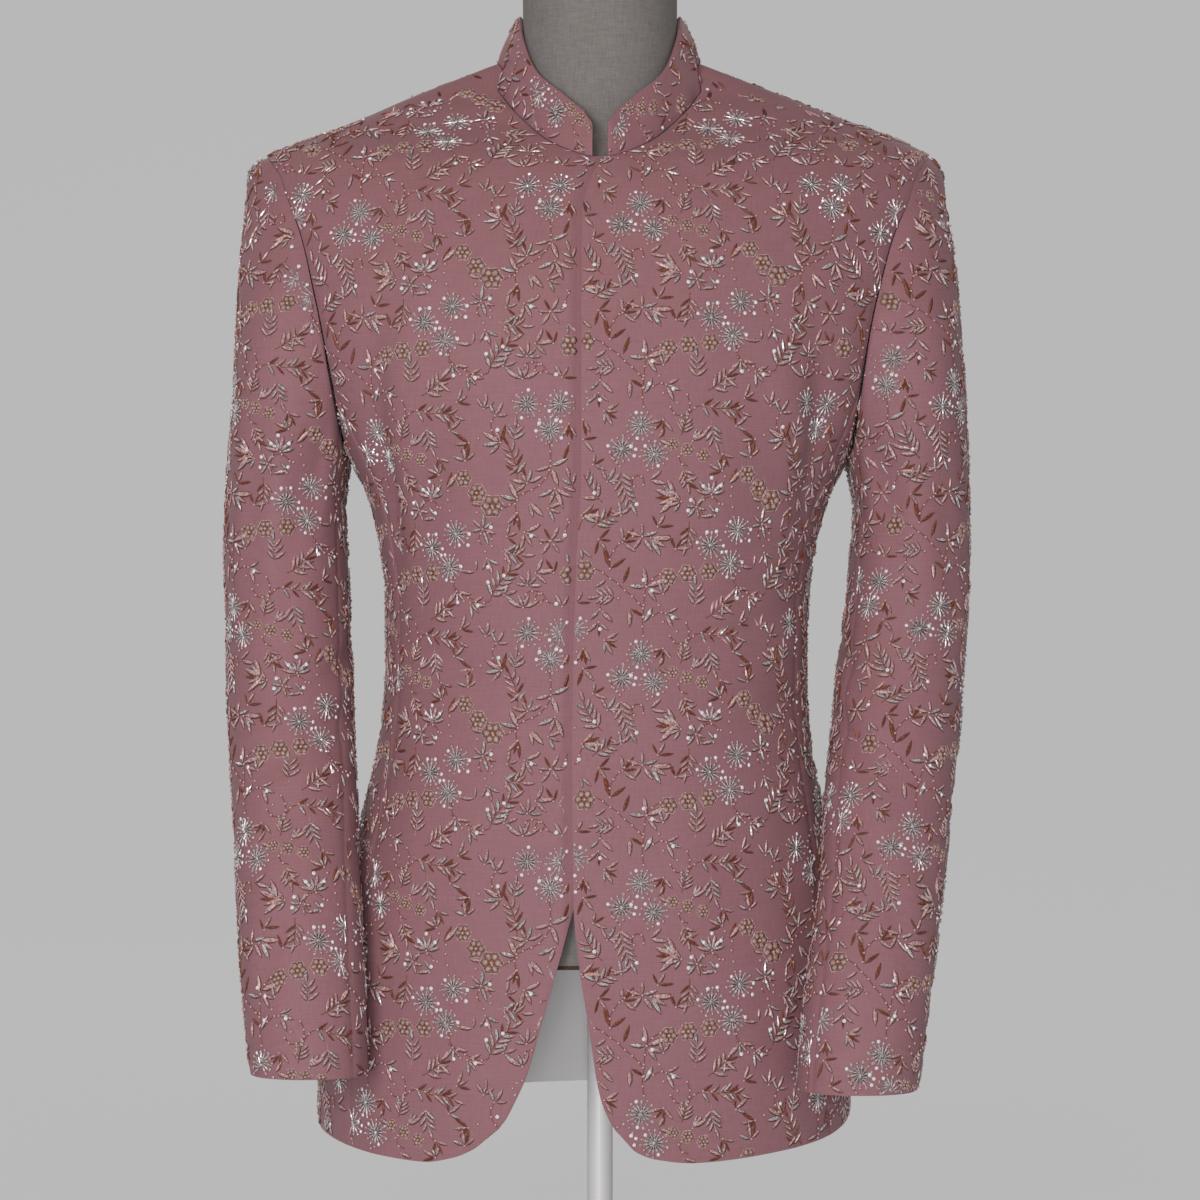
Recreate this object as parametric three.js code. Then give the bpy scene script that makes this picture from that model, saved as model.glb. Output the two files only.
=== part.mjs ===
// A bandhgala jacket worn by a limbless dress form on a pole and a round base.
// Millimetres, +Z up, the front faces -Y and the wearer's left is +X. The origin is the middle of the
// base's underside. Each cloth piece is a wall of even thickness on one shared body or sleeve surface,
// cut at the seams that a tailor would sew.

import * as THREE from 'three';

// Cloth
const WALL = 2;
const SEAM_HALF_GAP = 0.2;
const LAP_DEPTH = WALL + 0.9;
const LAP_STEP = 9;
const LAP_STEP_TURN = 4.6;
const SLEEVE_SEAM_HALF_GAP = 1.6 * SEAM_HALF_GAP;

// Body of the jacket: half width to the wearer's right and left, depth to the front and back,
// and the roundness of each half of the section, for each height
const BODY = [
  { z: 105, right: 209, left: 185, front: 139, back: 129, bow: 2.3, seat: 2.3 },
  { z: 140, right: 210, left: 186, front: 138, back: 129, bow: 2.3, seat: 2.3 },
  { z: 200, right: 207, left: 184, front: 136, back: 129, bow: 2.3, seat: 2.3 },
  { z: 250, right: 200, left: 180, front: 135, back: 127, bow: 2.3, seat: 2.3 },
  { z: 300, right: 191, left: 175, front: 132, back: 123, bow: 2.3, seat: 2.3 },
  { z: 364, right: 175, left: 165, front: 128, back: 116, bow: 2.3, seat: 2.3 },
  { z: 402, right: 166, left: 158, front: 125, back: 111, bow: 2.3, seat: 2.3 },
  { z: 440, right: 161, left: 154.5, front: 122, back: 108, bow: 2.3, seat: 2.3 },
  { z: 477, right: 159.5, left: 154, front: 122, back: 109, bow: 2.3, seat: 2.3 },
  { z: 514, right: 159.5, left: 155, front: 124, back: 112, bow: 2.3, seat: 2.3 },
  { z: 551, right: 163.5, left: 160, front: 127, back: 116, bow: 2.3, seat: 2.3 },
  { z: 589, right: 172, left: 170, front: 130, back: 120, bow: 2.3, seat: 2.3 },
  { z: 616, right: 185.5, left: 183, front: 132, back: 122, bow: 2.3, seat: 2.3 },
  { z: 640, right: 199, left: 195.5, front: 133, back: 124, bow: 2.3, seat: 2.3 },
  { z: 688, right: 225, left: 217, front: 133, back: 125, bow: 2.25, seat: 2.2 },
  { z: 734, right: 243, left: 234, front: 129, back: 123, bow: 2.15, seat: 2.1 },
  { z: 780, right: 255, left: 249, front: 117, back: 115, bow: 2.0, seat: 2.0 },
  { z: 811, right: 260, left: 257, front: 104, back: 106, bow: 1.9, seat: 1.9 },
  { z: 833, right: 257, left: 254, front: 90, back: 97, bow: 1.8, seat: 1.85 },
  { z: 845, right: 250, left: 247, front: 77, back: 92, bow: 1.8, seat: 1.8 },
  { z: 862, right: 208, left: 214, front: 57, back: 84, bow: 1.8, seat: 1.75 },
  { z: 876, right: 174, left: 176, front: 45, back: 79, bow: 1.8, seat: 1.75 },
  { z: 889, right: 145, left: 144, front: 29, back: 74, bow: 1.8, seat: 1.8 },
  { z: 913, right: 85, left: 83, front: 13, back: 62, bow: 1.8, seat: 2.0 },
  { z: 937, right: 20, left: 20, front: 8, back: 30, bow: 1.8, seat: 2.0 },
];

// Soft folds of the body: where the middle lies, as turn from the front and height, how far it runs
// each way, how wide it is, how much it stands out (less than zero is a trough), and its lean
const BODY_FOLDS = [
  { turn: -62, z: 650, run: 70, width: 11, rise: -6, lean: 8 },
  { turn: -54, z: 640, run: 80, width: 13, rise: 3, lean: 10 },
  { turn: 61, z: 655, run: 66, width: 11, rise: -6, lean: -8 },
  { turn: 53, z: 645, run: 76, width: 13, rise: 3, lean: -10 },
  { turn: -63, z: 790, run: 40, width: 12, rise: -2.5, lean: 5 },
  { turn: 46, z: 492, run: 55, width: 9, rise: -2.6, lean: 72 },
  { turn: 52, z: 462, run: 60, width: 9, rise: 2.2, lean: 66 },
  { turn: 58, z: 436, run: 50, width: 8, rise: -2.2, lean: 78 },
  { turn: -50, z: 470, run: 52, width: 9, rise: -1.8, lean: -70 },
  { turn: 124, z: 660, run: 75, width: 12, rise: -5, lean: 8 },
  { turn: -124, z: 660, run: 75, width: 12, rise: -5, lean: -8 },
  { turn: 138, z: 470, run: 60, width: 9, rise: -2.4, lean: 74 },
  { turn: -142, z: 456, run: 56, width: 9, rise: -2.2, lean: -70 },
];
const BODY_MEAN_RADIUS = 150;

// Front edges, as distance from the middle plane for each height. The left front laps on top.
const LEFT_EDGE = [
  { z: 132, x: 17 },
  { z: 141, x: 9 },
  { z: 159, x: 1 },
  { z: 177, x: -3 },
  { z: 212, x: -8 },
  { z: 248, x: -14 },
  { z: 301, x: -19 },
  { z: 407, x: -20 },
  { z: 543, x: -17 },
  { z: 600, x: -13.5 },
  { z: 790, x: -13 },
  { z: 812, x: -9 },
  { z: 835, x: 1.5 },
];
const RIGHT_EDGE = [
  { z: 132, x: -80 },
  { z: 141, x: -70 },
  { z: 159, x: -60 },
  { z: 177, x: -52 },
  { z: 212, x: -42 },
  { z: 250, x: -31 },
  { z: 301, x: -17 },
  { z: 360, x: -2 },
  { z: 410, x: 8 },
  { z: 460, x: 15 },
  { z: 520, x: 20 },
  { z: 600, x: 22 },
  { z: 835, x: 20 },
];

// Hem height by the turn from the front, for each front and for the rest
const LEFT_HEM = [
  { turn: 7.2, z: 132 },
  { turn: 10.5, z: 123 },
  { turn: 16.5, z: 117.5 },
  { turn: 26.5, z: 114.5 },
  { turn: 52, z: 119.5 },
  { turn: 66, z: 124 },
];
const RIGHT_HEM = [
  { turn: 31.4, z: 132 },
  { turn: 35, z: 123.5 },
  { turn: 40, z: 117 },
  { turn: 47, z: 113 },
  { turn: 58, z: 115 },
  { turn: 66, z: 118 },
];
const BACK_HEM = [
  { turn: 66, right: 118, left: 124 },
  { turn: 80, right: 124, left: 130 },
  { turn: 116, right: 132, left: 135 },
  { turn: 180, right: 137, left: 137 },
];

// Neck seam height by the turn from the front
const NECK = [
  { turn: 0, z: 833.5 },
  { turn: 8, z: 836.5 },
  { turn: 24, z: 846 },
  { turn: 44, z: 862 },
  { turn: 58, z: 876 },
  { turn: 73, z: 890 },
  { turn: 90, z: 916 },
  { turn: 115, z: 913 },
  { turn: 145, z: 908 },
  { turn: 180, z: 905 },
];

// Top edge of the collar: distance from the axis and height, by the turn from the front
const COLLAR_TOP = [
  { turn: 0, reach: 84, z: 862 },
  { turn: 4, reach: 83, z: 865 },
  { turn: 9, reach: 78.5, z: 870 },
  { turn: 23, reach: 70.5, z: 884 },
  { turn: 44, reach: 67, z: 902 },
  { turn: 66, reach: 62.5, z: 928 },
  { turn: 90, reach: 60.4, z: 951 },
  { turn: 120, reach: 61.5, z: 952 },
  { turn: 150, reach: 62, z: 948 },
  { turn: 180, reach: 62, z: 946 },
];
const COLLAR_CORNER = { turn: 5, from: 0.72 };
const COLLAR_BOW = 1.4;
const COLLAR_ROWS = 4;

// Armhole: a ring on the body surface, from its top over the front to the armpit and up the back
const ARMHOLE = { middleZ: 732, halfHeight: 113, frontTurn: 19.3, backTurn: 20, slant: 5.5 };

// Sleeves: outer and inner reach from the middle plane, middle and half depth, for each height
const SLEEVES = [
  { z: 150, outL: 224, inL: 139.6, outR: 247, inR: 164.6, middle: -121, depth: 39 },
  { z: 192, outL: 230.5, inL: 142.6, outR: 251, inR: 166.1, middle: -117, depth: 39.5 },
  { z: 227, outL: 235.5, inL: 146.1, outR: 255, inR: 167.6, middle: -111, depth: 40.5 },
  { z: 262, outL: 241, inL: 151.3, outR: 258.7, inR: 170.2, middle: -102, depth: 42 },
  { z: 297, outL: 246.5, inL: 157.4, outR: 261.8, inR: 172.6, middle: -90, depth: 44 },
  { z: 332, outL: 251.6, inL: 161.2, outR: 264.5, inR: 175.6, middle: -77, depth: 46 },
  { z: 368, outL: 256, inL: 163.6, outR: 267.8, inR: 177.6, middle: -62, depth: 48 },
  { z: 404, outL: 262, inL: 168.6, outR: 271.5, inR: 180.3, middle: -47, depth: 51 },
  { z: 440, outL: 267, inL: 173.1, outR: 275, inR: 182.6, middle: -32, depth: 54 },
  { z: 477, outL: 270.4, inL: 178.2, outR: 276.3, inR: 184.9, middle: -20, depth: 56 },
  { z: 514, outL: 273.6, inL: 183.4, outR: 278, inR: 187.1, middle: -12, depth: 58 },
  { z: 551, outL: 275, inL: 187.6, outR: 279, inR: 189.1, middle: -5, depth: 61 },
  { z: 589, outL: 275.6, inL: 191.1, outR: 278, inR: 191.6, middle: -1, depth: 64 },
  { z: 610, outL: 275.5, inL: 192.6, outR: 277.5, inR: 194.1, middle: 0, depth: 67 },
  { z: 642, outL: 274, inL: 192.6, outR: 275, inR: 194.6, middle: 0, depth: 74 },
  { z: 664, outL: 273, inL: 189.6, outR: 273, inR: 192.6, middle: 0, depth: 78 },
  { z: 701, outL: 270, inL: 184.6, outR: 271.5, inR: 188.6, middle: 0, depth: 82 },
  { z: 738, outL: 267, inL: 181.6, outR: 269.5, inR: 185.6, middle: 0, depth: 80 },
  { z: 776, outL: 262.5, inL: 181.6, outR: 267, inR: 186.6, middle: 0, depth: 76 },
  { z: 813, outL: 257.5, inL: 187.6, outR: 263.5, inR: 191.6, middle: 0, depth: 64 },
  { z: 833, outL: 256.5, inL: 190, outR: 262.5, inR: 195, middle: 0, depth: 50 },
  { z: 845, outL: 252.5, inL: 196, outR: 257.5, inR: 200, middle: 0, depth: 32 },
];
const SLEEVE_BOW = 2.25;
const CUFF = { left: 166, right: 177 };
const CROWN_ROLL = 14;
const CROWN_EASE = 95;
const ARMPIT_EASE = 26;
const SLEEVE_CENTRE_X = 300;
const NORMAL_STEP = 0.008;

// Soft folds of a sleeve: turn from its outer side over the front, height, run, width, rise and lean
const SLEEVE_FOLDS = [
  { turn: 118, z: 628, run: 46, width: 9, rise: -5, lean: 6 },
  { turn: 96, z: 640, run: 52, width: 9, rise: 2, lean: 4 },
  { turn: 150, z: 470, run: 34, width: 8, rise: -3.2, lean: 66 },
  { turn: 138, z: 442, run: 38, width: 8, rise: 2.2, lean: 60 },
  { turn: 132, z: 416, run: 36, width: 8, rise: -3, lean: 68 },
  { turn: 248, z: 624, run: 48, width: 9, rise: -4, lean: -8 },
  { turn: 60, z: 330, run: 44, width: 9, rise: -1.8, lean: 40 },
];
const SLEEVE_MEAN_RADIUS = 50;

// Dress form, pole and base
const FORM = { bottom: 250, plateX: 184, shoulderTop: 937, top: 1018, topMiddleY: -6, rim: 16, columns: 48 };
const FORM_ROWS = { hips: 8, chest: 6, shoulders: 12, neck: 2, rim: 5 };
const FORM_LEVELS = { chest: 610, shoulders: 820, neck: 930 };
const RIM_STEP = 17;
const FORM_CLEARANCE = [
  { z: 250, gap: 13 },
  { z: 450, gap: 9 },
  { z: 600, gap: 8 },
  { z: 720, gap: 6.8 },
  { z: 820, gap: 4.6 },
  { z: 870, gap: 4.6 },
  { z: 900, gap: 5.4 },
];
const LAP_ROOM = { gap: 3.6, turn: 24 };
const NECK_COLUMN = { halfWidth: 57, halfDepth: 58, middle: -4, lean: -0.06, leanFrom: 900, fillet: 12 };
const POLE = { radius: 9.5, sides: 32 };
const FLANGE = { radius: 31, height: 6 };
const BASE = { radius: 160, edge: 8, crown: 14, socketRadius: 17, socketHeight: 26 };
const SEAT_GAP = 0.3;

// Rows of the grids, from the hem to the armhole, to the neck corner, and along the neck
const LOW_ROWS = 14;
const MID_ROWS = 5;
const TOP_ROWS = 8;
const FRONT_COLUMNS = 13;
const SIDE_COLUMNS = 6;
const BACK_COLUMNS = 10;
const SIDE_START = 125;
const SIDE_END = 235;
const NECK_CORNER = 45;
const FRONT_SEAM_HEM = 66;
const BACK_SEAM_HEM = 116;
const HEM_FADE = 0.6;

const rad = THREE.MathUtils.degToRad;

// Value of one column of a table at a place on its first column, with no overshoot between the rows
function column(table, key, name, at) {
  const last = table.length - 1;
  const t = Math.min(Math.max(at, table[0][key]), table[last][key]);
  let i = 0;
  while (i < last - 1 && t > table[i + 1][key]) i += 1;
  const slope = (k) => (table[k + 1][name] - table[k][name]) / (table[k + 1][key] - table[k][key]);
  const tangent = (k) => {
    if (k === 0) return slope(0);
    if (k === last) return slope(last - 1);
    const before = slope(k - 1);
    const after = slope(k);
    return before * after <= 0 ? 0 : (2 * before * after) / (before + after);
  };
  const span = table[i + 1][key] - table[i][key];
  const s = (t - table[i][key]) / span;
  const rise = s * s * (3 - 2 * s);
  const value = table[i][name] * (1 - rise) + table[i + 1][name] * rise;
  return value + span * s * (1 - s) * ((1 - s) * tangent(i) - s * tangent(i + 1));
}

// How far the soft folds lift a point, with the distance along the cloth taken at a mean radius
function lift(folds, radius, turn, z) {
  let sum = 0;
  for (const fold of folds) {
    const side = rad(turn - fold.turn) * radius;
    const up = z - fold.z;
    const lean = rad(fold.lean);
    const along = up * Math.cos(lean) + side * Math.sin(lean);
    const across = side * Math.cos(lean) - up * Math.sin(lean);
    sum += fold.rise * Math.exp(-((along / fold.run) ** 2) - (across / fold.width) ** 2);
  }
  return sum;
}

function ovalRadius(wide, deep, power, side, ahead) {
  return (Math.abs(side / wide) ** power + Math.abs(ahead / deep) ** power) ** (-1 / power);
}

// Distance of the body surface from the axis, by the turn in degrees from the front and the height
function bodyRadius(turn, z) {
  const side = Math.sin(rad(turn));
  const ahead = Math.cos(rad(turn));
  const wide = column(BODY, 'z', side < 0 ? 'right' : 'left', z);
  const deep = column(BODY, 'z', ahead > 0 ? 'front' : 'back', z);
  const power = column(BODY, 'z', ahead > 0 ? 'bow' : 'seat', z);
  return ovalRadius(wide, deep, power, side, ahead);
}

function onAxisTurn(turn, radius, z) {
  return new THREE.Vector3(radius * Math.sin(rad(turn)), -radius * Math.cos(rad(turn)), z);
}

function bodyPoint(turn, z) {
  return onAxisTurn(turn, bodyRadius(turn, z) + lift(BODY_FOLDS, BODY_MEAN_RADIUS, turn, z), z);
}

function bodyNormal(turn, z) {
  const along = bodyPoint(turn + 0.5, z).sub(bodyPoint(turn - 0.5, z));
  const up = bodyPoint(turn, z + 1).sub(bodyPoint(turn, z - 1));
  return along.cross(up).normalize();
}

// Turn at which the body surface lies a given distance to the side
function turnAt(x, z) {
  let turn = 0;
  for (let step = 0; step < 12; step += 1) {
    turn = THREE.MathUtils.radToDeg(Math.asin(x / bodyRadius(turn, z)));
  }
  return turn;
}

// The armhole ring as turn and height on the wearer's left, by the angle from its top
function armhole(angle) {
  const c = Math.cos(rad(angle));
  const s = Math.sin(rad(angle));
  const spread = s > 0 ? ARMHOLE.frontTurn : ARMHOLE.backTurn;
  return [90 - s * (spread - ARMHOLE.slant * c), ARMHOLE.middleZ + ARMHOLE.halfHeight * c];
}

function mix(a, b, t) {
  return a.map((value, i) => value * (1 - t) + b[i] * t);
}

// A grid of turns and heights between an inner and an outer edge, bent to a hem at its foot.
// The places of the columns across a row are shares of its width.
function panelGrid(innerEdge, outerEdge, hem, placesAt) {
  return innerEdge.map((start, j) => placesAt(j).map((u) => {
    const plain = mix(start, outerEdge[j], u);
    const foot = mix(innerEdge[0], outerEdge[0], u);
    const bend = hem(u);
    const fade = Math.max(0, 1 - j / (LOW_ROWS * HEM_FADE)) ** 2;
    return [plain[0] + (bend[0] - foot[0]) * fade, plain[1] + (bend[1] - foot[1]) * fade];
  }));
}

const evenPlaces = (count) => Array.from({ length: count + 1 }, (_, i) => i / count);

// Columns of the right front, with two of them along the step down under the left front's edge
function underLapPlaces(start, end) {
  const line = -turnAt(column(LEFT_EDGE, 'z', 'x', start[1]), start[1]);
  const width = end[0] - start[0];
  if (width < 1) return evenPlaces(FRONT_COLUMNS);
  const edge = Math.max(line - start[0], 0.05 * width);
  const step = Math.max(line + LAP_STEP_TURN - start[0], edge + 0.06 * width);
  const rest = evenPlaces(FRONT_COLUMNS - 3).slice(1).map((u) => step + (width - step) * u);
  return [0, edge / 2, edge, step, ...rest].map((turn) => turn / width);
}

// Pulls the edges of a grid of points in by half a seam gap; sides are named as they lie in the grid
function openSeams(points, seams, halfGap = SEAM_HALF_GAP) {
  const rows = points.length - 1;
  const columns = points[0].length - 1;
  const pulled = points.map((row) => row.map((point) => point.clone()));
  const pull = (j, i, toJ, toI) => {
    const step = points[toJ][toI].clone().sub(points[j][i]).normalize();
    pulled[j][i].addScaledVector(step, halfGap);
  };
  for (let j = 0; j <= rows; j += 1) {
    if (seams.first) pull(j, 0, j, 1);
    if (seams.last) pull(j, columns, j, columns - 1);
  }
  for (let i = 0; i <= columns; i += 1) {
    if (seams.bottom) pull(0, i, 1, i);
    if (seams.top) pull(rows, i, rows - 1, i);
  }
  return pulled;
}

// One closed mesh from the outer and inner points of a wall
function wallMesh(name, outer, inner, material, wraps = false) {
  const rows = outer.length;
  const columns = outer[0].length;
  const flat = [...outer.flat(), ...inner.flat()];
  const offset = rows * columns;
  const faces = [];
  const quad = (a, b, c, d) => faces.push(a, b, c, a, c, d);
  const at = (j, i) => j * columns + (i % columns);
  const spans = wraps ? columns : columns - 1;
  for (let j = 0; j < rows - 1; j += 1) {
    for (let i = 0; i < spans; i += 1) {
      quad(at(j, i), at(j, i + 1), at(j + 1, i + 1), at(j + 1, i));
      quad(at(j, i) + offset, at(j + 1, i) + offset, at(j + 1, i + 1) + offset, at(j, i + 1) + offset);
    }
  }
  for (let i = 0; i < spans; i += 1) {
    quad(at(0, i + 1), at(0, i), at(0, i) + offset, at(0, i + 1) + offset);
    quad(at(rows - 1, i), at(rows - 1, i + 1), at(rows - 1, i + 1) + offset, at(rows - 1, i) + offset);
  }
  if (!wraps) {
    for (let j = 0; j < rows - 1; j += 1) {
      quad(at(j, 0), at(j + 1, 0), at(j + 1, 0) + offset, at(j, 0) + offset);
      quad(at(j + 1, columns - 1), at(j, columns - 1), at(j, columns - 1) + offset,
        at(j + 1, columns - 1) + offset);
    }
  }
  return closedMesh(name, flat, faces, material);
}

// A mesh from points and faces, turned outward
function closedMesh(name, points, faces, material) {
  let volume = 0;
  const normal = new THREE.Vector3();
  for (let k = 0; k < faces.length; k += 3) {
    const [a, b, c] = [points[faces[k]], points[faces[k + 1]], points[faces[k + 2]]];
    volume += a.dot(normal.crossVectors(b, c));
  }
  if (volume < 0) faces.reverse();
  const geometry = new THREE.BufferGeometry();
  const positions = points.flatMap((point) => [point.x, point.y, point.z]);
  geometry.setAttribute('position', new THREE.Float32BufferAttribute(positions, 3));
  geometry.setIndex(faces);
  geometry.computeVertexNormals();
  const mesh = new THREE.Mesh(geometry, material);
  mesh.name = name;
  return mesh;
}

function cloth(color) {
  return new THREE.MeshStandardMaterial({ color, roughness: 0.62, metalness: 0, side: THREE.DoubleSide });
}

// Depth by which the right front runs under the left one, at a point of the surface
function lapInset(x, z) {
  const edge = column(LEFT_EDGE, 'z', 'x', z);
  const t = THREE.MathUtils.clamp((x - edge + LAP_STEP) / LAP_STEP, 0, 1);
  return LAP_DEPTH * t * t * (3 - 2 * t);
}

// Wall of a body panel from its grid of turns and heights
function bodyPanel(name, grid, seams, color, underLap = false) {
  const outer = [];
  const normals = [];
  for (const row of grid) {
    normals.push(row.map(([turn, z]) => bodyNormal(turn, z)));
    outer.push(row.map(([turn, z], i) => {
      const point = bodyPoint(turn, z);
      const sink = underLap ? lapInset(point.x, z) : 0;
      return point.addScaledVector(normals[normals.length - 1][i], -sink);
    }));
  }
  const open = openSeams(outer, seams);
  const inner = open.map((row, j) => row.map((p, i) => p.clone().addScaledVector(normals[j][i], -WALL)));
  return wallMesh(name, open, inner, cloth(color));
}

function spread(from, to, count) {
  return Array.from({ length: count }, (_, k) => from + ((to - from) * k) / count);
}

// Angles around the armhole that body and sleeve share, from the top over the front
const RING = [
  ...spread(0, NECK_CORNER, TOP_ROWS),
  ...spread(NECK_CORNER, SIDE_START, MID_ROWS),
  ...spread(SIDE_START, SIDE_END, SIDE_COLUMNS),
  ...spread(SIDE_END, 360 - NECK_CORNER, MID_ROWS),
  ...spread(360 - NECK_CORNER, 360, TOP_ROWS),
];
const lowShare = (j) => j / LOW_ROWS;

// Turns along the neck seam that the fronts, backs and collar share
const COLLAR_START = 3.7;
const FRONT_NECK_TURNS = [...spread(COLLAR_START, 90, TOP_ROWS - 1), 90];
const BACK_NECK_TURNS = [...spread(180, 90, TOP_ROWS), 90];

// Seams between front and side body and between side body and back, from the hem to the armhole
function seamEdge(hemTurn, hemZ, angle) {
  const top = armhole(angle);
  return Array.from({ length: LOW_ROWS + 1 }, (_, j) => mix([hemTurn, hemZ], top, lowShare(j)));
}

// Rest of a front's or back's outer edge: up the armhole to the shoulder
function armholeEdge(front) {
  const angles = front
    ? [...spread(SIDE_START, NECK_CORNER, MID_ROWS), ...spread(NECK_CORNER, 0, TOP_ROWS), 0]
    : [...spread(SIDE_END, 360 - NECK_CORNER, MID_ROWS), ...spread(360 - NECK_CORNER, 360, TOP_ROWS), 360];
  return angles.slice(1).map(armhole);
}

// Inner edge of a front: the edge table up to the neck, then the neck seam to the shoulder
function frontInnerEdge(edge, mirror) {
  const foot = edge[0].z;
  const level = armhole(SIDE_START)[1];
  const atHeight = (z) => [turnAt(column(edge, 'z', 'x', z), z) * mirror, z];
  const low = Array.from({ length: LOW_ROWS + 1 }, (_, j) => atHeight(foot + (level - foot) * lowShare(j)));
  const corner = edge[edge.length - 1].z;
  const start = turnAt(edge[edge.length - 1].x, corner) * mirror;
  const neckStart = column(NECK, 'turn', 'z', Math.abs(start));
  const mid = [];
  for (let j = 1; j <= MID_ROWS; j += 1) {
    mid.push(atHeight(level + ((neckStart - level) * j) / MID_ROWS));
  }
  mid[MID_ROWS - 1] = [start, neckStart];
  const top = FRONT_NECK_TURNS.map((turn) => [turn, column(NECK, 'turn', 'z', turn)]);
  return [...low, ...mid, ...top];
}

// Inner edge of a back: the centre-back seam up to the neck, then the neck seam to the shoulder
function backInnerEdge() {
  const foot = column(BACK_HEM, 'turn', 'left', 180);
  const level = armhole(SIDE_START)[1];
  const neck = column(NECK, 'turn', 'z', 180);
  const low = Array.from({ length: LOW_ROWS + 1 }, (_, j) => [180, foot + (level - foot) * lowShare(j)]);
  const rise = (neck - level) / MID_ROWS;
  const mid = Array.from({ length: MID_ROWS }, (_, j) => [180, level + rise * (j + 1)]);
  const top = BACK_NECK_TURNS.slice(1).map((turn) => [turn, column(NECK, 'turn', 'z', turn)]);
  return [...low, ...mid, ...top];
}

function mirrored(grid, mirror) {
  return grid.map((row) => row.map(([turn, z]) => [turn * mirror, z]));
}

// Point of a sleeve's full tube by the angle from its outer side over the front, on side +1 or -1
function tubePoint(side, angle, z) {
  const out = column(SLEEVES, 'z', side > 0 ? 'outL' : 'outR', z);
  const inn = column(SLEEVES, 'z', side > 0 ? 'inL' : 'inR', z);
  const half = (out - inn) / 2;
  const depth = column(SLEEVES, 'z', 'depth', z);
  const c = Math.cos(rad(angle));
  const s = Math.sin(rad(angle));
  const fold = lift(SLEEVE_FOLDS, SLEEVE_MEAN_RADIUS, angle, z);
  const radius = ovalRadius(half, depth, SLEEVE_BOW, c, s) + fold;
  const middle = column(SLEEVES, 'z', 'middle', z);
  return new THREE.Vector3(side * (out - half + radius * c), middle - radius * s, z);
}

// Start of the sleeve at the armhole: the body's point, moved a seam gap out over the opening
function sleeveStart(side, angle) {
  const [turn, z] = armhole(angle);
  const here = bodyPoint(turn * side, z);
  const [nextTurn, nextZ] = armhole(angle + 1);
  const [lastTurn, lastZ] = armhole(angle - 1);
  const tangent = bodyPoint(nextTurn * side, nextZ).sub(bodyPoint(lastTurn * side, lastZ)).normalize();
  const across = bodyNormal(turn * side, z).cross(tangent).normalize();
  const centre = new THREE.Vector3(side * SLEEVE_CENTRE_X, 0, ARMHOLE.middleZ);
  if (across.dot(centre.sub(here)) < 0) across.negate();
  return here.addScaledVector(across, 2 * SEAM_HALF_GAP);
}

// Point of the sleeve: share 0 at the armhole, 1 at the cuff
function sleevePoint(side, angle, share) {
  const start = sleeveStart(side, angle);
  const cuff = side > 0 ? CUFF.left : CUFF.right;
  const z = start.z + (cuff - start.z) * share;
  const low = THREE.MathUtils.smoothstep(-Math.cos(rad(angle)), -0.35, 0.5);
  const ease = CROWN_ROLL + CROWN_EASE * Math.sin(rad(angle)) ** 2 + ARMPIT_EASE * low;
  const w = Math.min(1, (start.z - z) / ease);
  const round = Math.sqrt(1 - (1 - w) ** 2);
  const blend = round * (1 - low) + w * w * (3 - 2 * w) * low;
  const tube = tubePoint(side, angle, z);
  return new THREE.Vector3(
    start.x + (tube.x - start.x) * blend,
    start.y + (tube.y - start.y) * blend,
    z,
  );
}

const CROWN_SHARES = [0, 0.006, 0.018, 0.04, 0.075, 0.12, 0.175, 0.24];
const ARM_SHARES = [0.31, 0.38, 0.45, 0.52, 0.6, 0.68, 0.76, 0.84, 0.92, 1];
const SLEEVE_ROWS = [...CROWN_SHARES, ...ARM_SHARES];

function sleevePanel(name, side, angles, color) {
  const outer = SLEEVE_ROWS.map((share) => angles.map((angle) => sleevePoint(side, angle, share)));
  const normal = (angle, share) => {
    const before = Math.max(0, share - NORMAL_STEP);
    const after = Math.min(1, share + NORMAL_STEP);
    const around = sleevePoint(side, angle + 1, share).sub(sleevePoint(side, angle - 1, share));
    const down = sleevePoint(side, angle, after).sub(sleevePoint(side, angle, before));
    return around.cross(down).normalize().multiplyScalar(side);
  };
  const open = openSeams(outer, { first: true, last: true }, SLEEVE_SEAM_HALF_GAP);
  const inner = open.map((row, j) => row.map((point, i) => (
    point.clone().addScaledVector(normal(angles[i], SLEEVE_ROWS[j]), -WALL))));
  return wallMesh(name, open, inner, cloth(color));
}

// Point of the collar: share 0 on the neck seam, 1 at the top edge
function collarPoint(turn, share) {
  const size = Math.abs(turn);
  const neckZ = column(NECK, 'turn', 'z', size);
  const base = bodyPoint(turn, neckZ);
  const foot = new THREE.Vector3(base.x, base.y, neckZ + 2 * SEAM_HALF_GAP);
  const topZ = column(COLLAR_TOP, 'turn', 'z', size);
  const top = onAxisTurn(turn, column(COLLAR_TOP, 'turn', 'reach', size), topZ);
  const bow = COLLAR_BOW * Math.sin(Math.PI * share);
  const point = foot.lerp(top, share);
  return point.add(onAxisTurn(turn, bow, 0));
}

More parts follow.
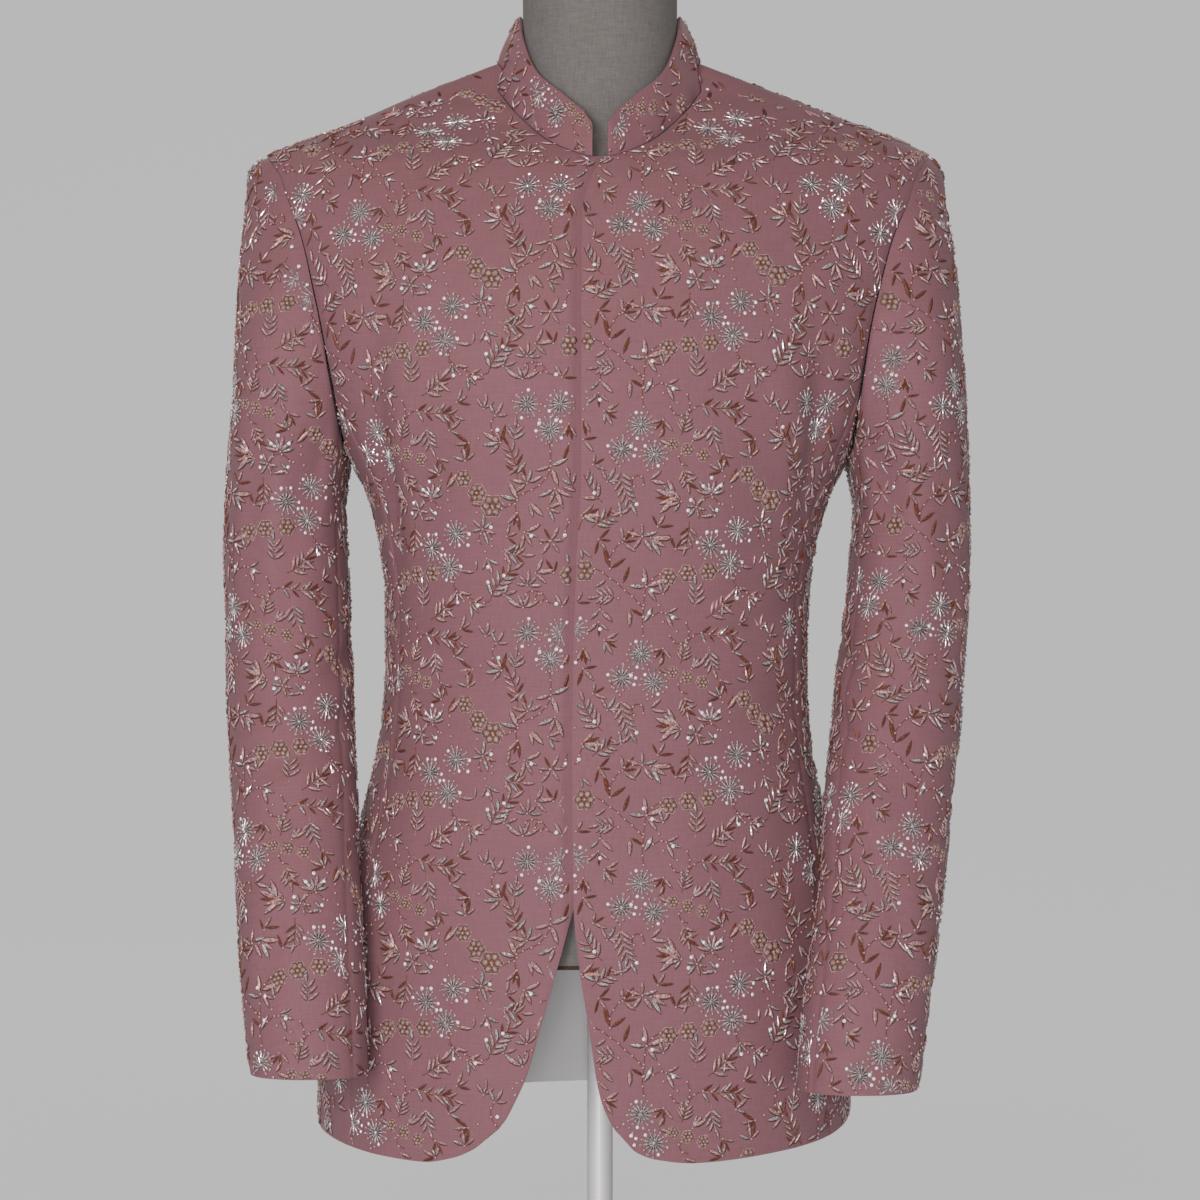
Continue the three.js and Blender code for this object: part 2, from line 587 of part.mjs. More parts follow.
// Half of the collar; its front end stands upright and its upper corner is rounded
function collarHalf(name, side, color) {
  const turns = [...FRONT_NECK_TURNS, ...BACK_NECK_TURNS.slice(0, -1).reverse()];
  const outer = [];
  const inner = [];
  for (let j = 0; j <= COLLAR_ROWS; j += 1) {
    const share = j / COLLAR_ROWS;
    const above = Math.max(0, (share - COLLAR_CORNER.from) / (1 - COLLAR_CORNER.from));
    const cut = COLLAR_START + COLLAR_CORNER.turn * above ** 3;
    const outerRow = [];
    const innerRow = [];
    for (const [i, seamTurn] of turns.entries()) {
      const turn = side * (i === 0 ? cut : seamTurn);
      const point = collarPoint(turn, share);
      const along = collarPoint(turn + 1, share).sub(collarPoint(turn - 1, share));
      const low = collarPoint(turn, Math.max(0, share - 0.05));
      const up = collarPoint(turn, Math.min(1, share + 0.05)).sub(low);
      const normal = along.cross(up).normalize();
      outerRow.push(point);
      innerRow.push(point.clone().addScaledVector(normal, -WALL));
    }
    outer.push(outerRow);
    inner.push(innerRow);
  }
  for (const grid of [outer, inner]) {
    for (const row of grid) row[turns.length - 1].x += side * SEAM_HALF_GAP;
  }
  return wallMesh(name, outer, inner, cloth(color));
}

// Radius of the dress form: the body surface kept clear of the cloth, run into the neck column
function formRadius(turn, z) {
  const slope = (bodyRadius(turn, z + 1) - bodyRadius(turn, z - 1)) / 2;
  const lapRoom = LAP_ROOM.gap * Math.exp(-((turn / LAP_ROOM.turn) ** 2));
  const clear = (column(FORM_CLEARANCE, 'z', 'gap', z) + lapRoom) * Math.sqrt(1 + slope * slope);
  const side = Math.sin(rad(turn));
  const ahead = Math.cos(rad(turn));
  const shift = NECK_COLUMN.middle + NECK_COLUMN.lean * (z - NECK_COLUMN.leanFrom);
  const neck = ovalRadius(NECK_COLUMN.halfWidth, NECK_COLUMN.halfDepth, 2, side, ahead) - shift * ahead;
  const torso = z < FORM.shoulderTop ? bodyRadius(turn, z) - clear : 0;
  const near = Math.max(NECK_COLUMN.fillet - Math.abs(torso - neck), 0) / NECK_COLUMN.fillet;
  return Math.max(torso, neck) + (near * near * NECK_COLUMN.fillet) / 4;
}

function formTorso(name, material) {
  const columns = FORM.columns;
  const heights = [
    ...spread(FORM.bottom, FORM_LEVELS.chest, FORM_ROWS.hips),
    ...spread(FORM_LEVELS.chest, FORM_LEVELS.shoulders, FORM_ROWS.chest),
    ...spread(FORM_LEVELS.shoulders, FORM_LEVELS.neck, FORM_ROWS.shoulders),
    ...spread(FORM_LEVELS.neck, FORM.top - FORM.rim, FORM_ROWS.neck),
  ];
  const rings = heights.map((z) => ({ z, inset: 0 }));
  for (let k = 0; k <= FORM_ROWS.rim; k += 1) {
    const angle = rad(k * RIM_STEP);
    const drop = FORM.rim * (1 - Math.sin(angle));
    rings.push({ z: FORM.top - drop, inset: FORM.rim * (1 - Math.cos(angle)) });
  }
  const points = [];
  for (const { z, inset } of rings) {
    for (let i = 0; i < columns; i += 1) {
      const around = (360 * i) / columns;
      const turn = around > 180 ? around - 360 : around;
      const point = onAxisTurn(turn, formRadius(turn, z) - inset, z);
      point.x = THREE.MathUtils.clamp(point.x, -FORM.plateX, FORM.plateX);
      points.push(point);
    }
  }
  const faces = [];
  for (let j = 0; j < rings.length - 1; j += 1) {
    for (let i = 0; i < columns; i += 1) {
      const a = j * columns + i;
      const b = j * columns + ((i + 1) % columns);
      faces.push(a, b, b + columns, a, b + columns, a + columns);
    }
  }
  const foot = points.length;
  points.push(new THREE.Vector3(0, 0, FORM.bottom));
  points.push(new THREE.Vector3(0, FORM.topMiddleY, FORM.top));
  const lastRing = (rings.length - 1) * columns;
  for (let i = 0; i < columns; i += 1) {
    const next = (i + 1) % columns;
    faces.push(foot, next, i, foot + 1, lastRing + i, lastRing + next);
  }
  return closedMesh(name, points, faces, material);
}

// A round piece turned about the upright axis, from its outline as radius and height
function turned(name, outline, sides, material) {
  const geometry = new THREE.LatheGeometry(outline.map(([r, z]) => new THREE.Vector2(r, z)), sides);
  geometry.rotateX(Math.PI / 2);
  const mesh = new THREE.Mesh(geometry, material);
  mesh.name = name;
  return mesh;
}

const ROSE = 0x9c747b;
const ROSE_SHADE = 0x93696f;
const group = new THREE.Group();

for (const side of [1, -1]) {
  const wearer = side > 0 ? 'left' : 'right';
  const hemTable = side > 0 ? LEFT_HEM : RIGHT_HEM;
  const frontHemZ = hemTable[hemTable.length - 1].z;
  const backHemZ = column(BACK_HEM, 'turn', wearer, BACK_SEAM_HEM);

  const frontSeam = seamEdge(FRONT_SEAM_HEM, frontHemZ, SIDE_START);
  const backSeam = seamEdge(BACK_SEAM_HEM, backHemZ, SIDE_END);

  const frontInner = frontInnerEdge(side > 0 ? LEFT_EDGE : RIGHT_EDGE, side);
  const frontHem = (u) => {
    const turn = frontInner[0][0] + (FRONT_SEAM_HEM - frontInner[0][0]) * u;
    return [turn, column(hemTable, 'turn', 'z', turn)];
  };
  const frontOuter = [...frontSeam, ...armholeEdge(true)];
  const frontPlaces = (j) => (
    side > 0 ? evenPlaces(FRONT_COLUMNS) : underLapPlaces(frontInner[j], frontOuter[j]));
  const frontGrid = panelGrid(frontInner, frontOuter, frontHem, frontPlaces);
  const frontSeams = { last: true, top: true };
  group.add(bodyPanel(`front_${wearer}`, mirrored(frontGrid, side), frontSeams, ROSE, side < 0));

  const sideTop = Array.from({ length: SIDE_COLUMNS + 1 }, (_, i) => (
    armhole(SIDE_START + ((SIDE_END - SIDE_START) * i) / SIDE_COLUMNS)));
  const sideGrid = frontSeam.map((start, j) => sideTop.map((top, i) => {
    const u = i / SIDE_COLUMNS;
    const turn = FRONT_SEAM_HEM + (BACK_SEAM_HEM - FRONT_SEAM_HEM) * u;
    const foot = [turn, column(BACK_HEM, 'turn', wearer, turn)];
    const line = mix(foot, top, lowShare(j));
    const ends = mix(start, backSeam[j], u);
    const flatTop = mix(sideTop[0], sideTop[SIDE_COLUMNS], u);
    const flatEnds = mix(mix(frontSeam[0], backSeam[0], u), flatTop, lowShare(j));
    return [line[0] + ends[0] - flatEnds[0], line[1] + ends[1] - flatEnds[1]];
  }));
  group.add(bodyPanel(`side_${wearer}`, mirrored(sideGrid, side), { first: true, last: true }, ROSE_SHADE));

  const backHem = (u) => {
    const turn = 180 + (BACK_SEAM_HEM - 180) * u;
    return [turn, column(BACK_HEM, 'turn', wearer, turn)];
  };
  const backOuter = [...backSeam, ...armholeEdge(false)];
  const backGrid = panelGrid(backInnerEdge(), backOuter, backHem, () => evenPlaces(BACK_COLUMNS));
  const backSeams = { first: true, last: true, top: true };
  group.add(bodyPanel(`back_${wearer}`, mirrored(backGrid, side), backSeams, ROSE));

  const seamColumn = TOP_ROWS + MID_ROWS + 1;
  const hindColumn = TOP_ROWS + MID_ROWS + SIDE_COLUMNS;
  const underAngles = RING.slice(seamColumn, hindColumn + 1);
  const hindAngles = RING.slice(hindColumn).map((angle) => angle - 360);
  const topAngles = [...hindAngles, ...RING.slice(0, seamColumn + 1)];
  group.add(sleevePanel(`sleeve_top_${wearer}`, side, topAngles, ROSE));
  group.add(sleevePanel(`sleeve_under_${wearer}`, side, underAngles, ROSE_SHADE));
  group.add(collarHalf(`collar_${wearer}`, side, ROSE));
}

const linen = new THREE.MeshStandardMaterial({ color: 0x79726f, roughness: 0.85, metalness: 0 });
group.add(formTorso('form_torso', linen));

const steel = new THREE.MeshStandardMaterial({ color: 0xb8b8b8, roughness: 0.35, metalness: 0.2 });
const flangeTop = FORM.bottom - SEAT_GAP;
const flangeFoot = flangeTop - FLANGE.height;
group.add(turned('stand_pole', [
  [0, BASE.crown + SEAT_GAP],
  [POLE.radius, BASE.crown + SEAT_GAP],
  [POLE.radius, flangeFoot],
  [FLANGE.radius - 1, flangeFoot],
  [FLANGE.radius, flangeFoot + 1],
  [FLANGE.radius, flangeTop],
  [0, flangeTop],
], POLE.sides, steel));
group.add(turned('stand_base', [
  [0, 0],
  [BASE.radius - 1, 0],
  [BASE.radius, 1],
  [BASE.radius, BASE.edge],
  [BASE.radius - 4, BASE.edge + 3],
  [BASE.socketRadius + 6, BASE.crown],
  [BASE.socketRadius, BASE.socketHeight],
  [POLE.radius + SEAT_GAP, BASE.socketHeight],
  [POLE.radius + SEAT_GAP, BASE.crown],
  [0, BASE.crown],
], 2 * POLE.sides, steel));

export default group;
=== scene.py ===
"""A bandhgala jacket of rose silk, embroidered all over, on a linen dress form with a pole and base."""

import math

import bpy
import numpy as np
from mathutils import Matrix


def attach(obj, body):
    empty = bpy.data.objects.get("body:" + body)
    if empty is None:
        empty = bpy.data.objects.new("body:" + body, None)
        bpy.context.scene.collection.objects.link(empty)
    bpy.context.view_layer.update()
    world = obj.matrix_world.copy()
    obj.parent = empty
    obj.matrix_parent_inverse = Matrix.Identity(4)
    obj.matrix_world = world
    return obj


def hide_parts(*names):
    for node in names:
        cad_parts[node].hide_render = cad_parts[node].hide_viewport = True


MM = 0.001


def table(names, *rows):
    """A table as one array for each named column."""
    return dict(zip(names.split(), np.array(rows, float).T))


# Cloth, in millimetres
WALL = 2.0
SEAM_HALF_GAP = 0.1
SEAM_SINK = 0.9
SEAM_SOFTNESS = 3.2
CLOTH_SHARP = 50
EDGE_SINK = 0.5
EDGE_SOFTNESS = 1.3
LAP_DEPTH = WALL + 0.9
LAP_STEP = 9.0
LAP_STEP_TURN = 4.6

# Body of the jacket: half widths, depths and the roundness of the front and back half of the section
BODY = table(
    "z right left front back bow seat",
    (105, 209, 185, 139, 129, 2.3, 2.3),
    (140, 210, 186, 138, 129, 2.3, 2.3),
    (200, 207, 184, 136, 129, 2.3, 2.3),
    (250, 200, 180, 135, 127, 2.3, 2.3),
    (300, 191, 175, 132, 123, 2.3, 2.3),
    (364, 175, 165, 128, 116, 2.3, 2.3),
    (402, 166, 158, 125, 111, 2.3, 2.3),
    (440, 161, 154.5, 122, 108, 2.3, 2.3),
    (477, 159.5, 154, 122, 109, 2.3, 2.3),
    (514, 159.5, 155, 124, 112, 2.3, 2.3),
    (551, 163.5, 160, 127, 116, 2.3, 2.3),
    (589, 172, 170, 130, 120, 2.3, 2.3),
    (616, 185.5, 183, 132, 122, 2.3, 2.3),
    (640, 199, 195.5, 133, 124, 2.3, 2.3),
    (688, 225, 217, 133, 125, 2.25, 2.2),
    (734, 243, 234, 129, 123, 2.15, 2.1),
    (780, 255, 249, 117, 115, 2.0, 2.0),
    (811, 260, 257, 104, 106, 1.9, 1.9),
    (833, 257, 254, 90, 97, 1.8, 1.85),
    (845, 250, 247, 77, 92, 1.8, 1.8),
    (862, 208, 214, 57, 84, 1.8, 1.75),
    (876, 174, 176, 45, 79, 1.8, 1.75),
    (889, 145, 144, 29, 74, 1.8, 1.8),
    (913, 85, 83, 13, 62, 1.8, 2.0),
    (937, 20, 20, 8, 30, 1.8, 2.0),
)

# Soft folds: turn and height of the middle, run, width, rise (a trough is less than zero) and lean
FOLD_NAMES = "turn z run width rise lean"
BODY_FOLDS = table(
    FOLD_NAMES,
    (-62, 650, 70, 11, -6, 8),
    (-54, 640, 80, 13, 3, 10),
    (61, 655, 66, 11, -6, -8),
    (53, 645, 76, 13, 3, -10),
    (-63, 790, 40, 12, -2.5, 5),
    (46, 492, 55, 9, -2.6, 72),
    (52, 462, 60, 9, 2.2, 66),
    (58, 436, 50, 8, -2.2, 78),
    (-50, 470, 52, 9, -1.8, -70),
    (124, 660, 75, 12, -5, 8),
    (-124, 660, 75, 12, -5, -8),
    (138, 470, 60, 9, -2.4, 74),
    (-142, 456, 56, 9, -2.2, -70),
)
SLEEVE_FOLDS = table(
    FOLD_NAMES,
    (118, 628, 46, 9, -5, 6),
    (96, 640, 52, 9, 2, 4),
    (150, 470, 34, 8, -3.2, 66),
    (138, 442, 38, 8, 2.2, 60),
    (132, 416, 36, 8, -3, 68),
    (248, 624, 48, 9, -4, -8),
    (60, 330, 44, 9, -1.8, 40),
)

# Slighter creases that come from wearing and pressing, uneven from side to side
BODY_CREASES = table(
    FOLD_NAMES,
    (-47, 702, 60, 10, -1.8, 16),
    (-39, 612, 74, 14, 1.5, 9),
    (-66, 560, 60, 9, -1.6, 12),
    (49, 708, 52, 9, -1.8, -18),
    (37, 566, 80, 15, 1.3, -11),
    (40, 512, 42, 8, -1.7, 74),
    (44, 448, 50, 7, -1.6, 66),
    (35, 424, 40, 8, 1.3, 72),
    (-34, 452, 44, 9, -1.3, -74),
    (-28, 372, 90, 16, -1.4, 10),
    (28, 318, 92, 18, 1.5, -8),
    (-57, 296, 84, 13, 1.7, 5),
    (60, 272, 88, 13, -1.8, -6),
    (-46, 205, 60, 12, -1.5, 8),
    (42, 190, 56, 14, 1.4, -5),
    (19, 744, 48, 12, -1.1, 32),
    (-17, 750, 46, 12, 1.0, -28),
    (-42, 806, 34, 10, -1.3, 52),
    (40, 812, 30, 9, -1.2, -56),
    (150, 720, 70, 14, -1.7, 20),
    (-146, 700, 64, 13, 1.6, -24),
    (162, 440, 70, 10, -1.8, 76),
    (-158, 424, 62, 9, -1.6, -70),
    (140, 300, 90, 16, 1.6, 6),
    (-136, 280, 84, 15, -1.7, -8),
)
SLEEVE_CREASES = {
    1: table(
        FOLD_NAMES,
        (68, 566, 72, 9, -2.2, 8),
        (38, 508, 60, 11, 1.6, -12),
        (108, 398, 38, 8, -2.6, 60),
        (94, 360, 44, 8, 2.0, 54),
        (76, 288, 58, 9, -1.8, 28),
        (18, 636, 80, 13, -1.5, 5),
        (-38, 486, 58, 11, -2.0, -50),
        (-62, 436, 50, 9, 2.0, -56),
        (48, 792, 30, 11, 1.3, 20),
        (112, 720, 46, 9, -2.0, 10),
        (124, 628, 60, 7, -3.2, 6),
        (106, 560, 70, 8, -2.4, 3),
    ),
    -1: table(
        FOLD_NAMES,
        (74, 604, 84, 8, -2.6, 5),
        (58, 612, 78, 9, 1.7, 4),
        (34, 488, 54, 12, -1.6, -16),
        (112, 418, 42, 8, -2.6, 54),
        (90, 384, 40, 8, 2.0, 60),
        (64, 262, 62, 10, -1.7, 20),
        (12, 560, 86, 14, 1.5, -6),
        (-44, 470, 62, 11, -2.1, -44),
        (-56, 418, 48, 10, 1.9, -60),
        (28, 826, 10, 5, -2.2, 70),
        (44, 814, 12, 5, 1.8, 64),
        (60, 806, 14, 5, -1.8, 60),
        (122, 640, 62, 7, -3.6, 6),
        (102, 580, 70, 8, -2.6, 4),
    ),
}
BODY_MEAN_RADIUS = 150.0
SLEEVE_MEAN_RADIUS = 50.0

# Front edges as distance from the middle plane; the left front laps on top
LEFT_EDGE = table(
    "z x",
    (132, 17),
    (141, 9),
    (159, 1),
    (177, -3),
    (212, -8),
    (248, -14),
    (301, -19),
    (407, -20),
    (543, -17),
    (600, -13.5),
    (790, -13),
    (812, -9),
    (835, 1.5),
)
RIGHT_EDGE = table(
    "z x",
    (132, -80),
    (141, -70),
    (159, -60),
    (177, -52),
    (212, -42),
    (250, -31),
    (301, -17),
    (360, -2),
    (410, 8),
    (460, 15),
    (520, 20),
    (600, 22),
    (835, 20),
)

# Hem heights by the turn from the front
LEFT_HEM = table("turn z", (7.2, 132), (10.5, 123), (16.5, 117.5), (26.5, 114.5), (52, 119.5), (66, 124))
RIGHT_HEM = table("turn z", (31.4, 132), (35, 123.5), (40, 117), (47, 113), (58, 115), (66, 118))
BACK_HEM = table("turn right left", (66, 118, 124), (80, 124, 130), (116, 132, 135), (180, 137, 137))

# Neck seam and the collar's top edge by the turn from the front
NECK = table(
    "turn z",
    (0, 833.5),
    (8, 836.5),
    (24, 846),
    (44, 862),
    (58, 876),
    (73, 890),
    (90, 916),
    (115, 913),
    (145, 908),
    (180, 905),
)
COLLAR_TOP = table(
    "turn reach z",
    (0, 84, 862),
    (4, 83, 865),
    (9, 78.5, 870),
    (23, 70.5, 884),
    (44, 67, 902),
    (66, 62.5, 928),
    (90, 60.4, 951),
    (120, 61.5, 952),
    (150, 62, 948),
    (180, 62, 946),
)
COLLAR_START = 3.7
COLLAR_CORNER = 5.0
COLLAR_CORNER_FROM = 0.72
COLLAR_BOW = 1.4
COLLAR_ROWS = 24

ARMHOLE_MIDDLE = 732.0
ARMHOLE_HALF = 113.0
ARMHOLE_FRONT_TURN = 19.3
ARMHOLE_BACK_TURN = 20.0
ARMHOLE_SLANT = 5.5

# Sleeves: outer and inner reach, middle and half depth
SLEEVES = table(
    "z outL inL outR inR middle depth",
    (150, 224, 139.6, 247, 164.6, -121, 39),
    (192, 230.5, 142.6, 251, 166.1, -117, 39.5),
    (227, 235.5, 146.1, 255, 167.6, -111, 40.5),
    (262, 241, 151.3, 258.7, 170.2, -102, 42),
    (297, 246.5, 157.4, 261.8, 172.6, -90, 44),
    (332, 251.6, 161.2, 264.5, 175.6, -77, 46),
    (368, 256, 163.6, 267.8, 177.6, -62, 48),
    (404, 262, 168.6, 271.5, 180.3, -47, 51),
    (440, 267, 173.1, 275, 182.6, -32, 54),
    (477, 270.4, 178.2, 276.3, 184.9, -20, 56),
    (514, 273.6, 183.4, 278, 187.1, -12, 58),
    (551, 275, 187.6, 279, 189.1, -5, 61),
    (589, 275.6, 191.1, 278, 191.6, -1, 64),
    (610, 275.5, 192.6, 277.5, 194.1, 0, 67),
    (642, 274, 192.6, 275, 194.6, 0, 74),
    (664, 273, 189.6, 273, 192.6, 0, 78),
    (701, 270, 184.6, 271.5, 188.6, 0, 82),
    (738, 267, 181.6, 269.5, 185.6, 0, 80),
    (776, 262.5, 181.6, 267, 186.6, 0, 76),
    (813, 257.5, 187.6, 263.5, 191.6, 0, 64),
    (833, 256.5, 190, 262.5, 195, 0, 50),
    (845, 252.5, 196, 257.5, 200, 0, 32),
)
SLEEVE_BOW = 2.25
CUFF = {1: 166.0, -1: 177.0}
CROWN_ROLL = 14.0
CROWN_EASE = 95.0
ARMPIT_EASE = 26.0
ARMPIT_FROM = -0.35
ARMPIT_TO = 0.5
SLEEVE_CENTRE_X = 300.0
FRONT_SLEEVE_SEAM = 125 + 110 / 6
BACK_SLEEVE_SEAM = 235.0

# Dress form
FORM_BOTTOM = 250.0
FORM_PLATE_X = 184.0
FORM_TOP = 1018.0
FORM_TOP_MIDDLE = -6.0
FORM_RIM = 16.0
FORM_CLEARANCE = table(
    "z gap", (250, 13), (450, 9), (600, 8), (720, 6.8), (820, 4.6), (870, 4.6), (900, 5.4)
)
LAP_ROOM = 3.6
LAP_ROOM_TURN = 24.0
NECK_HALF_WIDTH = 57.0
NECK_HALF_DEPTH = 58.0
NECK_MIDDLE = -4.0
NECK_LEAN = -0.06
NECK_LEAN_FROM = 900.0
NECK_FILLET = 12.0
FORM_SHOULDER_TOP = 937.0
FORM_COLUMNS = 132
FORM_SHARP = 60
FORM_BREAK = 820.0
FORM_LOW_ROWS = 80
FORM_TOP_ROWS = 70
FORM_RIM_STEP = 5.0
TAPE_HEIGHT = 3.0

# Rows and columns of the cloth grids
LOW_ROWS = 84
MID_ROWS = 30
TOP_ROWS = 40
FRONT_COLUMNS = 56
SIDE_COLUMNS = 24
BACK_COLUMNS = 44
SLEEVE_ROWS = 110
SLEEVE_HEAD_ROWS = 25
SLEEVE_HEAD_SHARE = 0.07
TOP_SLEEVE_COLUMNS = 84
UNDER_SLEEVE_COLUMNS = 30
COLLAR_COLUMNS = 100
EDGE_PLACES = np.array((0, 0.004, 0.01, 0.019))
INNER_PLACES = (0.032, 0.968)
LAP_EDGE_LEAST = 0.05
LAP_STEP_LEAST = 0.06
BODY_STEPS = (0.5, 1.0)
HEM_FADE = 0.6
SIDE_START = 125.0
SIDE_END = 235.0
NECK_CORNER = 45.0
FRONT_SEAM_HEM = 66.0
BACK_SEAM_HEM = 116.0


def through(places, values, at):
    """Values of a curve through the rows of a table, with no overshoot between them."""
    at = np.clip(at, places[0], places[-1])
    slopes = np.diff(values) / np.diff(places)
    both = slopes[:-1] * slopes[1:]
    total = np.where(both > 0, slopes[:-1] + slopes[1:], 1)
    inner = np.where(both > 0, 2 * both / total, 0)
    tangents = np.concatenate(([slopes[0]], inner, [slopes[-1]]))
    k = np.clip(np.searchsorted(places, at, side="right") - 1, 0, len(places) - 2)
    span = places[k + 1] - places[k]
    s = (at - places[k]) / span
    rise = s * s * (3 - 2 * s)
    value = values[k] * (1 - rise) + values[k + 1] * rise
    return value + span * s * (1 - s) * ((1 - s) * tangents[k] - s * tangents[k + 1])


def column(rows, key, name, at):
    return through(rows[key], rows[name], at)


def smoothstep(t, low=0.0, high=1.0):
    t = np.clip((t - low) / (high - low), 0, 1)
    return t * t * (3 - 2 * t)


def unit(vectors):
    return vectors / np.maximum(np.linalg.norm(vectors, axis=-1, keepdims=True), 1e-9)


def circle(degrees):
    """Cosine and sine of degrees."""
    return np.cos(np.radians(degrees)), np.sin(np.radians(degrees))


def lift(folds, radius, turn, z):
    """How far the soft folds lift points of the cloth."""
    total = np.zeros(np.broadcast(turn, z).shape)
    for middle, height, run, width, rise, lean in zip(*folds.values()):
        side = np.radians(turn - middle) * radius
        up = z - height
        c, s = circle(lean)
        along = up * c + side * s
        across = side * c - up * s
        total = total + rise * np.exp(-((along / run) ** 2) - (across / width) ** 2)
    return total


def oval_radius(wide, deep, power, side, ahead):
    return (np.abs(side / wide) ** power + np.abs(ahead / deep) ** power) ** (-1 / power)


def body_radius(turn, z):
    """How far the jacket lies from the pole's axis."""
    ahead, side = circle(turn)
    wide = np.where(side < 0, column(BODY, "z", "right", z), column(BODY, "z", "left", z))
    deep = np.where(ahead > 0, column(BODY, "z", "front", z), column(BODY, "z", "back", z))
    power = np.where(ahead > 0, column(BODY, "z", "bow", z), column(BODY, "z", "seat", z))
    return oval_radius(wide, deep, power, side, ahead)


def on_axis_turn(turn, radius, z):
    """A point by its turn from the front about the pole's axis, its radius and its height."""
    turn, radius, z = np.broadcast_arrays(turn, radius, z)
    ahead, side = circle(turn)
    return np.stack((radius * side, -radius * ahead, z), -1)


def body_point(turn, z):
    folds = lift(BODY_FOLDS, BODY_MEAN_RADIUS, turn, z) + lift(BODY_CREASES, BODY_MEAN_RADIUS, turn, z)
    return on_axis_turn(turn, body_radius(turn, z) + folds, z)


def surface_frame(point, a, b, signs, steps):
    """Across, up and outward directions of a surface at two of its own coordinates."""
    across = signs[0] * (point(a + steps[0], b) - point(a - steps[0], b))
    up = signs[1] * (point(a, b + steps[1]) - point(a, b - steps[1]))
    out = unit(np.cross(across, up))
    across = unit(across)
    return across, np.cross(out, across), out


def turn_at(x, z):
    """Turn at which the body surface lies a given distance to the side."""
    turn = 0.0
    for _ in range(12):
        turn = np.degrees(np.arcsin(x / body_radius(turn, z)))
    return turn


def armhole(angle):
    """The armhole ring as turn and height on the wearer's left, by the angle from its top."""
    c, s = circle(angle)
    spread = np.where(s > 0, ARMHOLE_FRONT_TURN, ARMHOLE_BACK_TURN)
    return np.stack((90 - s * (spread - ARMHOLE_SLANT * c), ARMHOLE_MIDDLE + ARMHOLE_HALF * c), -1)


def lap_inset(x, z):
    """Depth by which the right front runs under the left one."""
    edge = column(LEFT_EDGE, "z", "x", z)
    return LAP_DEPTH * smoothstep(x - edge, -LAP_STEP, 0)


def under_lap_point(turn, z):
    point = body_point(turn, z)
    out = surface_frame(body_point, turn, z, (1, 1), BODY_STEPS)[2]
    return point - out * lap_inset(point[..., 0], z)[..., None]


# Turns and heights of the panels


def eased_places(count):
    """Shares across a row, with more columns close to both of its ends."""
    inner = np.linspace(*INNER_PLACES, count + 1 - 2 * len(EDGE_PLACES))
    return np.concatenate((EDGE_PLACES, inner, 1 - EDGE_PLACES[::-1]))


def under_lap_places(start, end):
    """Columns of the right front, some of them along the step down under the left front's edge."""
    line = -turn_at(column(LEFT_EDGE, "z", "x", start[1]), start[1])
    width = end[0] - start[0]
    if width < 1:
        return eased_places(FRONT_COLUMNS)
    edge = max(line - start[0], LAP_EDGE_LEAST * width)
    step = max(line + LAP_STEP_TURN - start[0], edge + LAP_STEP_LEAST * width)
    lead = np.concatenate((np.linspace(0, edge, 4)[:-1], np.linspace(edge, step, 6)[:-1]))
    rest = step + (width - step) * eased_places(FRONT_COLUMNS)[4:]
    keep = FRONT_COLUMNS + 1 - len(lead)
    picked = np.concatenate((np.linspace(step, rest[-4], keep - 3), rest[-3:]))
    return np.concatenate((lead, picked)) / width


def panel_grid(inner, outer, hem, places):
    """Turns and heights between two edges, bent to a hem at the foot."""
    u = places[..., None]
    plain = inner[:, None] * (1 - u) + outer[:, None] * u
    foot = inner[0] * (1 - u) + outer[0] * u
    bend = np.stack(hem(places), -1)
    fade = np.clip(1 - np.arange(len(inner)) / (LOW_ROWS * HEM_FADE), 0, None) ** 2
    return plain + (bend - foot) * fade[:, None, None]


def seam_edge(hem_turn, hem_z, angle):
    share = np.linspace(0, 1, LOW_ROWS + 1)[:, None]
    return np.array((hem_turn, hem_z)) * (1 - share) + armhole(angle) * share


def armhole_edge(start, corner, end):
    low = np.linspace(start, corner, MID_ROWS + 1)[1:]
    high = np.linspace(corner, end, TOP_ROWS + 1)[1:]
    return armhole(np.concatenate((low, high)))


LEVEL = float(armhole(SIDE_START)[1])
FRONT_NECK_TURNS = np.linspace(COLLAR_START, 90, TOP_ROWS)
BACK_NECK_TURNS = np.linspace(180, 90, TOP_ROWS + 1)


def front_inner_edge(edge, mirror):
    foot = edge["z"][0]
    corner = edge["z"][-1]
    start = turn_at(edge["x"][-1], corner) * mirror
    neck_start = float(column(NECK, "turn", "z", abs(start)))
    low = np.linspace(foot, LEVEL, LOW_ROWS + 1)
    mid = np.linspace(LEVEL, neck_start, MID_ROWS + 1)[1:]
    heights = np.concatenate((low, mid))
    turns = turn_at(column(edge, "z", "x", heights), heights) * mirror
    turns[-1] = start
    neck = np.stack((FRONT_NECK_TURNS, column(NECK, "turn", "z", FRONT_NECK_TURNS)), -1)
    return np.concatenate((np.stack((turns, heights), -1), neck))


def back_inner_edge():
    foot = float(column(BACK_HEM, "turn", "left", 180))
    neck = float(column(NECK, "turn", "z", 180))
    low = np.linspace(foot, LEVEL, LOW_ROWS + 1)
    mid = np.linspace(LEVEL, neck, MID_ROWS + 1)[1:]
    heights = np.concatenate((low, mid))
    top_turns = BACK_NECK_TURNS[1:]
    top = np.stack((top_turns, column(NECK, "turn", "z", top_turns)), -1)
    return np.concatenate((np.stack((np.full(len(heights), 180.0), heights), -1), top))


